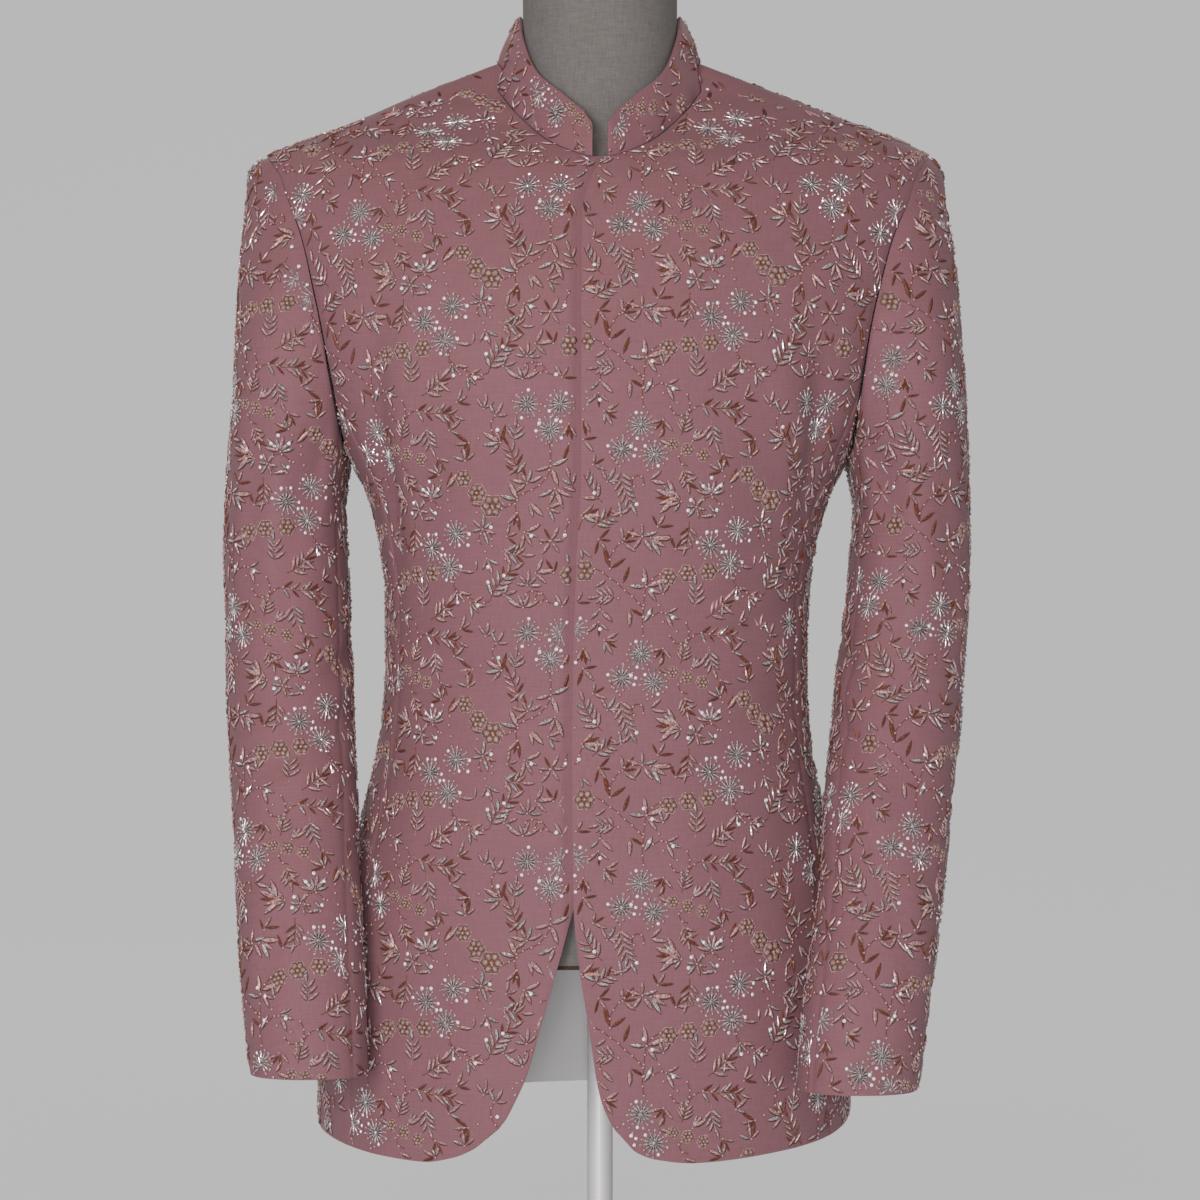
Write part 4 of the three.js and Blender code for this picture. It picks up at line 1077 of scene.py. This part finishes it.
# Scales of the noises in features per metre. Silk: slubs of 17 by 1.1 mm across warp threads of 0.9 by
# 11 mm, and clouds of tone 110 mm wide. Linen: threads of 8 by 0.7 mm across threads of 0.8 by 14 mm.
# Embroidery thread: a painted glint, in its colour, every 1.4 mm. Real threads are finer: these are as
# coarse as the render needs.
SILK_SLUB = (60, 900, 1)
SILK_WARP = (1100, 90, 1)
SILK_CLOUD = 9.0
LINEN_WEFT = (120, 120, 1500)
LINEN_WARP = (1300, 1300, 70)
THREAD_PAINTED_GLINT = 700.0
WEAVE_RANGE = (0.7, 1.3)
PAINTED_GLINT_RANGE = (0.35, 0.65)
RELIEF_DEPTH = 0.0003


def crossed_threads(tree, place, weft, warp):
    """Weft and warp: two noises, each drawn out across the other, added up."""
    noises = []
    for scale, detail in (weft, warp):
        drawn = add(tree, "ShaderNodeMapping", {"Scale": scale}, {"Vector": place})
        settings = {"Scale": 1.0, "Detail": detail}
        noises.append(add(tree, "ShaderNodeTexNoise", settings, {"Vector": drawn.outputs[0]}).outputs[0])
    return add(tree, "ShaderNodeMath", {"operation": "ADD"}, dict(enumerate(noises))).outputs[0]


def dark_to_light(tree, value, limits, dark, light):
    """A colour that goes from dark to light while a value goes from one limit to the other."""
    settings = {"From Min": limits[0], "From Max": limits[1]}
    share = add(tree, "ShaderNodeMapRange", settings, {"Value": value})
    colours = {"data_type": "RGBA", 6: linear(dark), 7: linear(light)}
    return add(tree, "ShaderNodeMix", colours, {0: share.outputs[0]}).outputs[2]


def relief_of(tree, height, strength):
    """Thread relief a third of a millimetre deep."""
    settings = {"Strength": strength, "Distance": RELIEF_DEPTH}
    return add(tree, "ShaderNodeBump", settings, {"Height": height}).outputs[0]


def silk_material():
    """Dupion silk: a crosswise slub and a soft sheen, so that the rose shifts a little in tone."""
    made, tree = new_material("rose_silk")
    cloth = add(tree, "ShaderNodeUVMap", {"uv_map": "cloth"}).outputs[0]
    threads = crossed_threads(tree, cloth, (SILK_SLUB, 3.0), (SILK_WARP, 2.0))
    fine = dark_to_light(tree, threads, WEAVE_RANGE, "#8d6268", "#996e75")
    cloud = add(tree, "ShaderNodeTexNoise", {"Scale": SILK_CLOUD, "Detail": 2.0}, {"Vector": cloth})
    broad = add(tree, "ShaderNodeMapRange", {"To Min": 0.0, "To Max": 0.3}, {"Value": cloud.outputs[0]})
    worn = {"data_type": "RGBA", 7: linear("#9d757a")}
    colour = add(tree, "ShaderNodeMix", worn, {0: broad.outputs[0], 6: fine})
    settings = {"Roughness": 0.6, "Sheen Weight": 0.08, "Sheen Roughness": 0.5, "Specular IOR Level": 0.2}
    links = {"Base Color": colour.outputs[2], "Normal": relief_of(tree, threads, 0.25)}
    finish_material(tree, add(tree, "ShaderNodeBsdfPrincipled", settings, links))
    return made


def plain_material(name, code, roughness, metallic=0.0, specular=0.5):
    """One even colour with its gloss."""
    made, tree = new_material(name)
    settings = {
        "Base Color": linear(code),
        "Roughness": roughness,
        "Metallic": metallic,
        "Specular IOR Level": specular,
    }
    finish_material(tree, add(tree, "ShaderNodeBsdfPrincipled", settings))
    return made


def thread_material(name, dark, light, roughness, metallic):
    """Embroidery thread: its colour goes from dark to light over each millimetre or so of the work, a
    painted glint of the thread's sheen.
    """
    made, tree = new_material(name)
    place = add(tree, "ShaderNodeTexCoord", {}).outputs["Object"]
    # Noise that paints the thread's glint into its colour
    painted_glint = add(tree, "ShaderNodeTexNoise", {"Scale": THREAD_PAINTED_GLINT, "Detail": 2.0}, {"Vector": place})
    colour = dark_to_light(tree, painted_glint.outputs[0], PAINTED_GLINT_RANGE, dark, light)
    settings = {"Roughness": roughness, "Metallic": metallic, "Specular IOR Level": 0.35}
    finish_material(tree, add(tree, "ShaderNodeBsdfPrincipled", settings, {"Base Color": colour}))
    return made


def linen_material():
    """Linen over the form: a plain weave of uneven threads, dull all over, with brown tape at its foot."""
    made, tree = new_material("form_linen")
    place = add(tree, "ShaderNodeTexCoord", {}).outputs["Object"]
    threads = crossed_threads(tree, place, (LINEN_WEFT, 3.0), (LINEN_WARP, 3.0))
    weave = dark_to_light(tree, threads, WEAVE_RANGE, "#74716f", "#8b8784")
    height = add(tree, "ShaderNodeSeparateXYZ", {}, {"Vector": place})
    below = {"operation": "LESS_THAN", 1: (FORM_BOTTOM + TAPE_HEIGHT) * MM}
    tape = add(tree, "ShaderNodeMath", below, {0: height.outputs["Z"]})
    brown = {"data_type": "RGBA", 7: linear("#4d3a33")}
    colour = add(tree, "ShaderNodeMix", brown, {0: tape.outputs[0], 6: weave})
    links = {"Base Color": colour.outputs[2], "Normal": relief_of(tree, threads, 0.3)}
    settings = {"Roughness": 0.85, "Specular IOR Level": 0.2}
    finish_material(tree, add(tree, "ShaderNodeBsdfPrincipled", settings, links))
    return made


# The paper's own glow, and how it fades aside and toward the front, in metres
GLOW = 0.905
GLOW_LEAST = 0.6
GLOW_ASIDE = (1.15, 2.2)
GLOW_FRONT = (-0.7, 0.3)


def backdrop_material():
    """Matt grey studio paper, lit evenly from behind as well, so that it has no shade of its own."""
    made, tree = new_material("backdrop_paper")
    place = add(tree, "ShaderNodeTexCoord", {})
    part = add(tree, "ShaderNodeSeparateXYZ", {}, {"Vector": place.outputs["Object"]})
    aside = add(tree, "ShaderNodeMath", {"operation": "ABSOLUTE"}, {0: part.outputs["X"]})
    soft = {"interpolation_type": "SMOOTHSTEP"}
    sides = {**soft, "From Min": GLOW_ASIDE[0], "From Max": GLOW_ASIDE[1]}
    sides |= {"To Min": GLOW, "To Max": GLOW * GLOW_LEAST}
    across = add(tree, "ShaderNodeMapRange", sides, {"Value": aside.outputs[0]})
    depth = {**soft, "From Min": GLOW_FRONT[0], "From Max": GLOW_FRONT[1]}
    depth |= {"To Min": GLOW_LEAST, "To Max": 1.0}
    back = add(tree, "ShaderNodeMapRange", depth, {"Value": part.outputs["Y"]})
    glow = add(tree, "ShaderNodeMath", {"operation": "MULTIPLY"}, {0: across.outputs[0], 1: back.outputs[0]})
    settings = {
        "Base Color": linear("#5a5a5a"),
        "Roughness": 1.0,
        "Specular IOR Level": 0.0,
        "Emission Color": linear("#b8b8b8"),
    }
    shader = add(tree, "ShaderNodeBsdfPrincipled", settings, {"Emission Strength": glow.outputs[0]})
    finish_material(tree, shader)
    return made


# Meshes


def new_piece(name, points, faces, materials, slots=None, cloth=None, smooth=True):
    """A mesh from points in millimetres and faces with as many corners each."""
    mesh = bpy.data.meshes.new(name)
    count, corners = faces.shape
    mesh.vertices.add(len(points))
    mesh.vertices.foreach_set("co", (points * MM).astype(np.float32).ravel())
    mesh.loops.add(count * corners)
    mesh.loops.foreach_set("vertex_index", faces.astype(np.int32).ravel())
    mesh.polygons.add(count)
    mesh.polygons.foreach_set("loop_start", np.arange(count, dtype=np.int32) * corners)
    for made in materials:
        mesh.materials.append(made)
    if slots is not None:
        mesh.polygons.foreach_set("material_index", slots.astype(np.int32))
    if cloth is not None:
        layer = mesh.uv_layers.new(name="cloth")
        layer.data.foreach_set("uv", (cloth[faces.ravel()] * MM).astype(np.float32).ravel())
    mesh.update(calc_edges=True)
    mesh.polygons.foreach_set("use_smooth", np.full(count, smooth))
    mesh.validate()
    piece = bpy.data.objects.new(name, mesh)
    bpy.context.scene.collection.objects.link(piece)
    return piece


def wall_faces(rows, columns):
    """Quads of the outer side, the inner side and the rim of a wall, in that order."""
    index = np.arange(rows * columns).reshape(rows, columns)
    offset = rows * columns
    a, b, c, d = index[:-1, :-1], index[:-1, 1:], index[1:, 1:], index[1:, :-1]
    outer = np.stack((a, b, c, d), -1).reshape(-1, 4)
    inner = np.stack((a, d, c, b), -1).reshape(-1, 4) + offset
    rims = []
    lines = (index[0, ::-1], index[-1], index[:, 0], index[::-1, -1])
    for line in lines:
        rims.append(np.stack((line[:-1], line[1:], line[1:] + offset, line[:-1] + offset), -1))
    return outer, inner, np.concatenate(rims)


def ring_faces(rows, columns):
    """Triangles between rings of points, each ring closed on itself."""
    index = np.arange(rows * columns).reshape(rows, columns)
    after = np.roll(index, -1, axis=1)
    lower = np.stack((index[:-1], after[:-1], after[1:]), -1).reshape(-1, 3)
    upper = np.stack((index[:-1], after[1:], index[1:]), -1).reshape(-1, 3)
    return index, after, np.concatenate((lower, upper))


def edge_fade(distance, depth, softness):
    return depth * np.exp(-((distance / softness) ** 2))


def pulled_in(points, seams):
    """Draws the seam edges of a grid of points back by half a gap."""
    pulled = points.copy()
    if "first" in seams:
        pulled[:, 0] += unit(points[:, 1] - points[:, 0]) * SEAM_HALF_GAP
    if "last" in seams:
        pulled[:, -1] += unit(points[:, -2] - points[:, -1]) * SEAM_HALF_GAP
    if "top" in seams:
        pulled[-1] += unit(points[-2] - points[-1]) * SEAM_HALF_GAP
    return pulled


def cloth_wall(name, points, out, chart_xy, seams, materials, facing=0):
    """A wall of cloth whose seams are pressed in, with its facing and lining on the inner side."""
    across = run_along(points, 1)
    up = run_along(points, 0)
    distances = {"first": across, "last": across[:, -1:] - across, "bottom": up, "top": up[-1:] - up}
    sink = np.zeros(across.shape)
    for edge, distance in distances.items():
        if edge in seams:
            sink = np.maximum(sink, edge_fade(distance, SEAM_SINK, SEAM_SOFTNESS))
        else:
            sink = np.maximum(sink, edge_fade(distance, EDGE_SINK, EDGE_SOFTNESS))
    outer = pulled_in(points, seams) - out * sink[..., None]
    inner = outer - out * (WALL - 0.5 * sink[..., None])
    rows, columns = outer.shape[:2]
    outside, inside_faces, rim = wall_faces(rows, columns)
    lining = np.ones((rows - 1, columns - 1), int)
    # The facing's columns take a dark brown of painted shade
    lining[:, :facing] = 2
    faces = np.concatenate((outside, inside_faces, rim))
    slots = np.concatenate((np.zeros(len(outside), int), lining.ravel(), np.zeros(len(rim), int)))
    both = np.concatenate((outer.reshape(-1, 3), inner.reshape(-1, 3)))
    flat = np.tile(chart_xy.reshape(-1, 2), (2, 1))
    first, second, third, fourth = (both[faces[:, k]] for k in range(4))
    if np.sum(first * (np.cross(second, third) + np.cross(third, fourth))) < 0:
        faces = faces[:, ::-1]
    piece = new_piece(name, both, faces, materials, slots, flat)
    sharp_edges(piece, CLOTH_SHARP)
    return piece


def sharp_edges(piece, degrees):
    """Smooth shading, except where faces meet at more than an angle."""
    bpy.ops.object.select_all(action="DESELECT")
    piece.select_set(True)
    bpy.context.view_layer.objects.active = piece
    bpy.ops.object.shade_smooth_by_angle(angle=math.radians(degrees))


def embroidery(name, point, chart, signs, steps, phase, border, materials, keep=None):
    """The embroidery of one panel in one mesh: pearls shade smoothly, threads and crystals have facets."""
    border_across = read_chart(chart, "across", border[:, 0], border[:, 1])[0]
    border_up = read_chart(chart, "up", border[:, 0], border[:, 1])[0]
    first_i = math.floor((border_across.min() - phase[0]) / TILE_WIDTH) - 1
    last_i = math.ceil((border_across.max() - phase[0]) / TILE_WIDTH) + 1
    first_j = math.floor((border_up.min() - phase[1]) / TILE_HEIGHT) - 1
    last_j = math.ceil((border_up.max() - phase[1]) / TILE_HEIGHT) + 1
    tiles = [(i, j) for i in range(first_i, last_i) for j in range(first_j, last_j)]
    corners = np.array(tiles, float) * (TILE_WIDTH, TILE_HEIGHT) + phase
    low = np.array((border_across.min(), border_up.min())) - TILE_MARGIN
    high = np.array((border_across.max(), border_up.max())) + TILE_MARGIN
    all_points = []
    all_faces = []
    all_slots = []
    total = 0
    for kind, (shape_points, shape_faces) in SHAPES.items():
        rows = np.tile(REPEAT[kind], (len(corners), 1))
        rows[:, 1:3] += np.repeat(corners, len(REPEAT[kind]), axis=0)
        rows = rows[np.all((rows[:, 1:3] > low) & (rows[:, 1:3] < high), axis=1)]
        tone, x, y, heading, length, width, height, base = rows.T
        kept = np.ones(len(rows), bool)
        # The disc of painted shade under a burst lies lower than the rest, and stays only where the whole
        # burst does
        share = np.where(base < 0, 1.0, 0.5)
        for forth, aside in ((1, 0), (-1, 0), (0, 1), (0, -1)):
            end_x = share * (forth * length * np.cos(heading) - aside * width * np.sin(heading))
            end_y = share * (forth * length * np.sin(heading) + aside * width * np.cos(heading))
            end_a, end_b, found = find_places(chart, x + end_x, y + end_y)
            kept &= found & inside(border, end_a, end_b)
            if keep is not None:
                kept &= keep(end_a, end_b)
        tone, x, y, heading, length, width, height, base = rows[kept].T
        if not len(x):
            continue
        a, b, _ = find_places(chart, x, y)
        origin = point(a, b)
        across, up, out = surface_frame(point, a, b, signs, steps)
        c = np.cos(heading)[:, None]
        s = np.sin(heading)[:, None]
        forward = across * c + up * s
        leftward = up * c - across * s
        sizes = np.stack((length, width, height), -1)
        local = shape_points[None] * sizes[:, None]
        local[..., 2] += base[:, None]
        made = (
            origin[:, None]
            + forward[:, None] * local[..., :1]
            + leftward[:, None] * local[..., 1:2]
            + out[:, None] * local[..., 2:]
        )
        count = len(x)
        offsets = total + np.arange(count)[:, None, None] * len(shape_points)
        all_points.append(made.reshape(-1, 3))
        all_faces.append((shape_faces[None] + offsets).reshape(-1, 3))
        all_slots.append(np.repeat(tone.astype(int), len(shape_faces)))
        total += count * len(shape_points)
    slots = np.concatenate(all_slots)
    smooth = np.isin(slots, (PEARL, CREAM))
    return new_piece(
        name, np.concatenate(all_points), np.concatenate(all_faces), materials, slots, smooth=smooth
    )


# The scene

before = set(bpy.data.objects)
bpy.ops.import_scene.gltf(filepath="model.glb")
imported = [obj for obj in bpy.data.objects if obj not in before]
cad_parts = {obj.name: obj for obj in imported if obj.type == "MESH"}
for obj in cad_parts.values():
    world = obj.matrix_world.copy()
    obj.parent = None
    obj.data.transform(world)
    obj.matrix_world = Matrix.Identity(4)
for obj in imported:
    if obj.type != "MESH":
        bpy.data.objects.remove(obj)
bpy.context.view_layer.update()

# Satin lining: smooth and pale, with a soft gloss. Placket facing behind the left edge: a dark brown of
# painted shade, the deep shade it lies in
CLOTHS = [
    silk_material(),
    plain_material("satin_lining", "#f0efef", 0.45),
    plain_material("facing_painted_shade", "#40241c", 0.7),
]

# Metal-wrapped thread glints a little, plain thread is dull; pearls are softly glossy, crystals sharply so.
# In the order of the tones: PINK, SILVER, RUST, PEARL, CRYSTAL, CREAM and last a dark brown for leaf
# outlines and painted shade
THREADS = [
    thread_material("rose_zari", "#9c7173", "#dcbfbc", 0.45, 0.1),
    thread_material("silver_zari", "#8a8283", "#e8e2e2", 0.35, 0.3),
    thread_material("rust_thread", "#66321f", "#9c5a3e", 0.55, 0.05),
    plain_material("rose_pearl", "#cfa9a6", 0.35),
    plain_material("clear_crystal", "#e9e7ea", 0.12, specular=0.9),
    thread_material("champagne_zari", "#96766c", "#c6a79b", 0.5, 0.05),
    # Dark brown: the leaves' outline thread, and painted shade under leaves and bursts
    plain_material("outline_and_painted_shade", "#54322e", 0.7),
]

ALL_TURNS = np.arange(-182.0, 183.0)
BACK_TURNS = {1: np.arange(88.0, 183.0), -1: np.arange(-182.0, -87.0)}
BODY_HEIGHTS = np.arange(98.0, 918.0, 4.0)
CHART_LEVEL = 650.0
FRONT_CHART = cloth_chart(body_point, ALL_TURNS, BODY_HEIGHTS, (1, 1), 0.0, CHART_LEVEL)
SLEEVE_ANGLES = np.arange(-129.0, 240.0, 2.0)
SLEEVE_CHART_TOP = 850.0
SLEEVE_CHART_BELOW_CUFF = 6
SLEEVE_CHART_STEP = 2.0
SLEEVE_CHART_ZERO = (60.0, 500.0)
SLEEVE_STEPS = (1.0, 1.0)
COLLAR_CHART_SHARES = np.linspace(-0.05, 1.05, 23)
COLLAR_STEPS = (1.0, 0.02)


def add_cloth(name, point, params, chart, signs, steps, seams, phase, keep=None, facing_columns=0):
    """One piece of the jacket: its cloth and the embroidery on it."""
    a, b = params[..., 0], params[..., 1]
    points = point(a, b)
    out = surface_frame(point, a, b, signs, steps)[2]
    flat = np.stack([read_chart(chart, key, a, b)[0] for key in ("across", "up")], -1)
    wall = cloth_wall(f"{name}_cloth", points, out, flat, seams, CLOTHS, facing_columns)
    border = np.concatenate((params[:, 0], params[-1, 1:], params[-2::-1, -1], params[0, -2:0:-1]))
    work = embroidery(f"{name}_embroidery", point, chart, signs, steps, phase, border, THREADS, keep)
    for piece in (wall, work):
        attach(piece, "root")
    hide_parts(name)


# Where the repeat starts on each piece, in millimetres from the zero of its chart
FRONT_PHASE = {1: (52.0, 3.0), -1: (-155.0, 0.0)}
SIDE_PHASE = {1: (92.0, 30.0), -1: (-195.0, 30.0)}
BACK_PHASE = (-98.0, 20.0)
SLEEVE_PHASE = (12.0, 25.0)
COLLAR_PHASE = {1: (30.0, -108.0), -1: (-28.0, -108.0)}
LAP_MARGIN = 2.5
FACING_COLUMNS = 8


def clear_of_lap(turn, z):
    """Which places of the right front show beside the left front's edge."""
    return body_point(turn, z)[..., 0] < column(LEFT_EDGE, "z", "x", z) - LAP_MARGIN


def add_body(side, wearer):
    front, middle, back = body_grids(side)
    front_point = body_point if side > 0 else under_lap_point
    keep = None if side > 0 else clear_of_lap
    add_cloth(
        f"front_{wearer}", front_point, front, FRONT_CHART, (1, 1), BODY_STEPS,
        ("last", "top"), FRONT_PHASE[side], keep, FACING_COLUMNS,
    )
    add_cloth(
        f"side_{wearer}", body_point, middle, FRONT_CHART, (1, 1), BODY_STEPS,
        ("first", "last", "top"), SIDE_PHASE[side],
    )
    back_chart = cloth_chart(body_point, BACK_TURNS[side], BODY_HEIGHTS, (1, 1), 180.0 * side, CHART_LEVEL)
    add_cloth(
        f"back_{wearer}", body_point, back, back_chart, (1, 1), BODY_STEPS,
        ("first", "last", "top"), BACK_PHASE,
    )


def add_sleeve(side, wearer):
    def sleeve(angle, z):
        return sleeve_at_height(side, angle, z)

    signs = (-side, 1)
    heights = np.arange(CUFF[side] - SLEEVE_CHART_BELOW_CUFF, SLEEVE_CHART_TOP, SLEEVE_CHART_STEP)
    chart = cloth_chart(sleeve, SLEEVE_ANGLES, heights, signs, *SLEEVE_CHART_ZERO)
    head = np.linspace(0, SLEEVE_HEAD_SHARE, SLEEVE_HEAD_ROWS + 1)[:-1]
    arm = np.linspace(SLEEVE_HEAD_SHARE, 1, SLEEVE_ROWS - SLEEVE_HEAD_ROWS)
    rows = np.concatenate((head, arm))
    for part, low, high, count in (
        ("top", BACK_SLEEVE_SEAM - 360, FRONT_SLEEVE_SEAM, TOP_SLEEVE_COLUMNS),
        ("under", FRONT_SLEEVE_SEAM, BACK_SLEEVE_SEAM, UNDER_SLEEVE_COLUMNS),
    ):
        angles = low + (high - low) * eased_places(count)
        params = np.stack(np.meshgrid(angles, rows), -1)
        params[..., 1] = sleeve_point(side, params[..., 0], params[..., 1])[..., 2]
        add_cloth(
            f"sleeve_{part}_{wearer}", sleeve, params, chart, signs, SLEEVE_STEPS,
            ("first", "last", "bottom"), SLEEVE_PHASE,
        )


def add_collar(side, wearer):
    chart = cloth_chart(collar_point, ALL_TURNS, COLLAR_CHART_SHARES, (1, 1), 0.0, 0.0)
    shares = np.linspace(0, 1, COLLAR_ROWS + 1)[:, None]
    start = COLLAR_START + COLLAR_CORNER * smoothstep(shares, COLLAR_CORNER_FROM, 1) ** 2
    turns = side * (start + (180 - start) * eased_places(COLLAR_COLUMNS))
    params = np.stack((turns, np.broadcast_to(shares, turns.shape)), -1)
    add_cloth(
        f"collar_{wearer}", collar_point, params, chart, (1, 1), COLLAR_STEPS,
        ("last", "bottom"), COLLAR_PHASE[side],
    )


for side, wearer in ((1, "left"), (-1, "right")):
    add_body(side, wearer)
    add_sleeve(side, wearer)
    add_collar(side, wearer)

# Dress form


def build_form():
    """The form's cover: rings from its lower edge up to the neck, with a rounded rim and closed ends."""
    turns = np.linspace(-180, 180, FORM_COLUMNS + 1)[:-1]
    low = np.linspace(FORM_BOTTOM, FORM_BREAK, FORM_LOW_ROWS)[:-1]
    high = np.linspace(FORM_BREAK, FORM_TOP - FORM_RIM, FORM_TOP_ROWS)
    rim = np.radians(np.arange(FORM_RIM_STEP, 90, FORM_RIM_STEP))
    heights = np.concatenate((low, high, FORM_TOP - FORM_RIM * (1 - np.sin(rim))))
    insets = np.concatenate((np.zeros(len(low) + len(high)), FORM_RIM * (1 - np.cos(rim))))
    a, z = np.meshgrid(turns, heights)
    points = on_axis_turn(a, form_radius(a, z) - insets[:, None], z)
    points[..., 0] = np.clip(points[..., 0], -FORM_PLATE_X, FORM_PLATE_X)
    index, after, around = ring_faces(*a.shape)
    foot = np.full(FORM_COLUMNS, index.size)
    bottom = np.stack((foot, after[0], index[0]), -1)
    top = np.stack((foot + 1, index[-1], after[-1]), -1)
    ends = np.array(((0, 0, FORM_BOTTOM), (0, FORM_TOP_MIDDLE, FORM_TOP)))
    all_points = np.concatenate((points.reshape(-1, 3), ends))
    faces = np.concatenate((around, bottom, top))
    return new_piece("form_cover", all_points, faces, [linen_material()])


form = build_form()
sharp_edges(form, FORM_SHARP)
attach(form, "root")
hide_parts("form_torso")

# Painted steel: even, pale and satin
steel = plain_material("stand_steel", "#d8d8d8", 0.45, 0.1)
for name in ("stand_pole", "stand_base"):
    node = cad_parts[name]
    node.data.materials.clear()
    node.data.materials.append(steel)

# Studio: a round room of grey paper whose floor curves up into its wall, in metres

ROOM_RADIUS = 3.7
ROOM_CURVE = 0.9
ROOM_HEIGHT = 4.0
ROOM_SIDES = 96
CURVE_STEPS = 16
FLOOR_RINGS = np.linspace(0.1, 0.95, 12)


def build_room():
    angles = np.radians(np.linspace(0, 90, CURVE_STEPS + 1))
    floor_reach = ROOM_RADIUS - ROOM_CURVE
    flat = FLOOR_RINGS * floor_reach
    reach = np.concatenate((flat, floor_reach + ROOM_CURVE * np.sin(angles), [ROOM_RADIUS]))
    height = np.concatenate((np.zeros(len(flat)), ROOM_CURVE * (1 - np.cos(angles)), [ROOM_HEIGHT]))
    turns = np.radians(np.arange(ROOM_SIDES) * 360 / ROOM_SIDES)
    ring = np.stack((np.cos(turns), np.sin(turns)), -1)
    heights = np.tile(height[:, None, None], (1, ROOM_SIDES, 1))
    rings = np.concatenate((reach[:, None, None] * ring[None], heights), -1)
    index, after, around = ring_faces(len(reach), ROOM_SIDES)
    floor = np.stack((np.full(ROOM_SIDES, index.size), index[0], after[0]), -1)
    points = np.concatenate((rings.reshape(-1, 3), np.zeros((1, 3))))
    faces = np.concatenate((around[:, ::-1], floor))
    return new_piece("room", points / MM, faces, [backdrop_material()])


room = build_room()


def area_light(name, place, target, size, power, colour):
    bpy.ops.object.light_add(type="AREA", location=place)
    light = bpy.context.object
    light.name = name
    light.data.shape = "RECTANGLE"
    light.data.size = size[0]
    light.data.size_y = size[1]
    light.data.energy = power
    light.data.color = colour
    aim = np.array(target) - np.array(place)
    flat = math.hypot(aim[0], aim[1])
    light.rotation_euler = (math.pi / 2 + math.atan2(aim[2], flat), 0, math.atan2(-aim[0], aim[1]))


# The jacket's middle is at about half a metre; the top light is warm, the others nearly white
NEARLY_WHITE = (1.0, 0.985, 0.985)
area_light("key", (-0.8, -2.7, 0.8), (0, 0, 0.45), (0.8, 1.2), 34, NEARLY_WHITE)
area_light("front", (-0.1, -2.9, 0.35), (0, 0, 0.3), (0.4, 0.4), 15, (0.99, 0.97, 1.0))
area_light("top", (-0.2, -1.4, 2.6), (0, 0, 0.7), (1.3, 0.8), 8, (1.0, 0.74, 0.58))
area_light("fill", (1.4, -2.3, 0.7), (0, 0, 0.5), (1.0, 1.4), 3, NEARLY_WHITE)
area_light("back_left", (-1.7, 2.2, 2.4), (0, 0, 0.5), (1.4, 1.4), 18, (1.0, 0.985, 0.98))
area_light("back_right", (1.7, 2.2, 2.4), (0, 0, 0.5), (1.4, 1.4), 15, (1.0, 0.985, 0.98))

WORLD_STRENGTH = 0.1
world = bpy.data.worlds.new("studio")
world.use_nodes = True
sky = world.node_tree.nodes["Background"]
sky.inputs["Color"].default_value = (1, 1, 1, 1)
sky.inputs["Strength"].default_value = WORLD_STRENGTH
bpy.context.scene.world = world

# The camera stands level; its lens and sensor are in millimetres
CAMERA_DISTANCE = 2.53
CAMERA_HEIGHT = 0.514
CAMERA_LENS = 101.4
CAMERA_SENSOR = 36
bpy.ops.object.camera_add(location=(0, -CAMERA_DISTANCE, CAMERA_HEIGHT), rotation=(math.pi / 2, 0, 0))
camera = bpy.context.object
camera.data.lens = CAMERA_LENS
camera.data.sensor_width = CAMERA_SENSOR
bpy.context.scene.camera = camera
bpy.context.scene.view_settings.view_transform = "Standard"
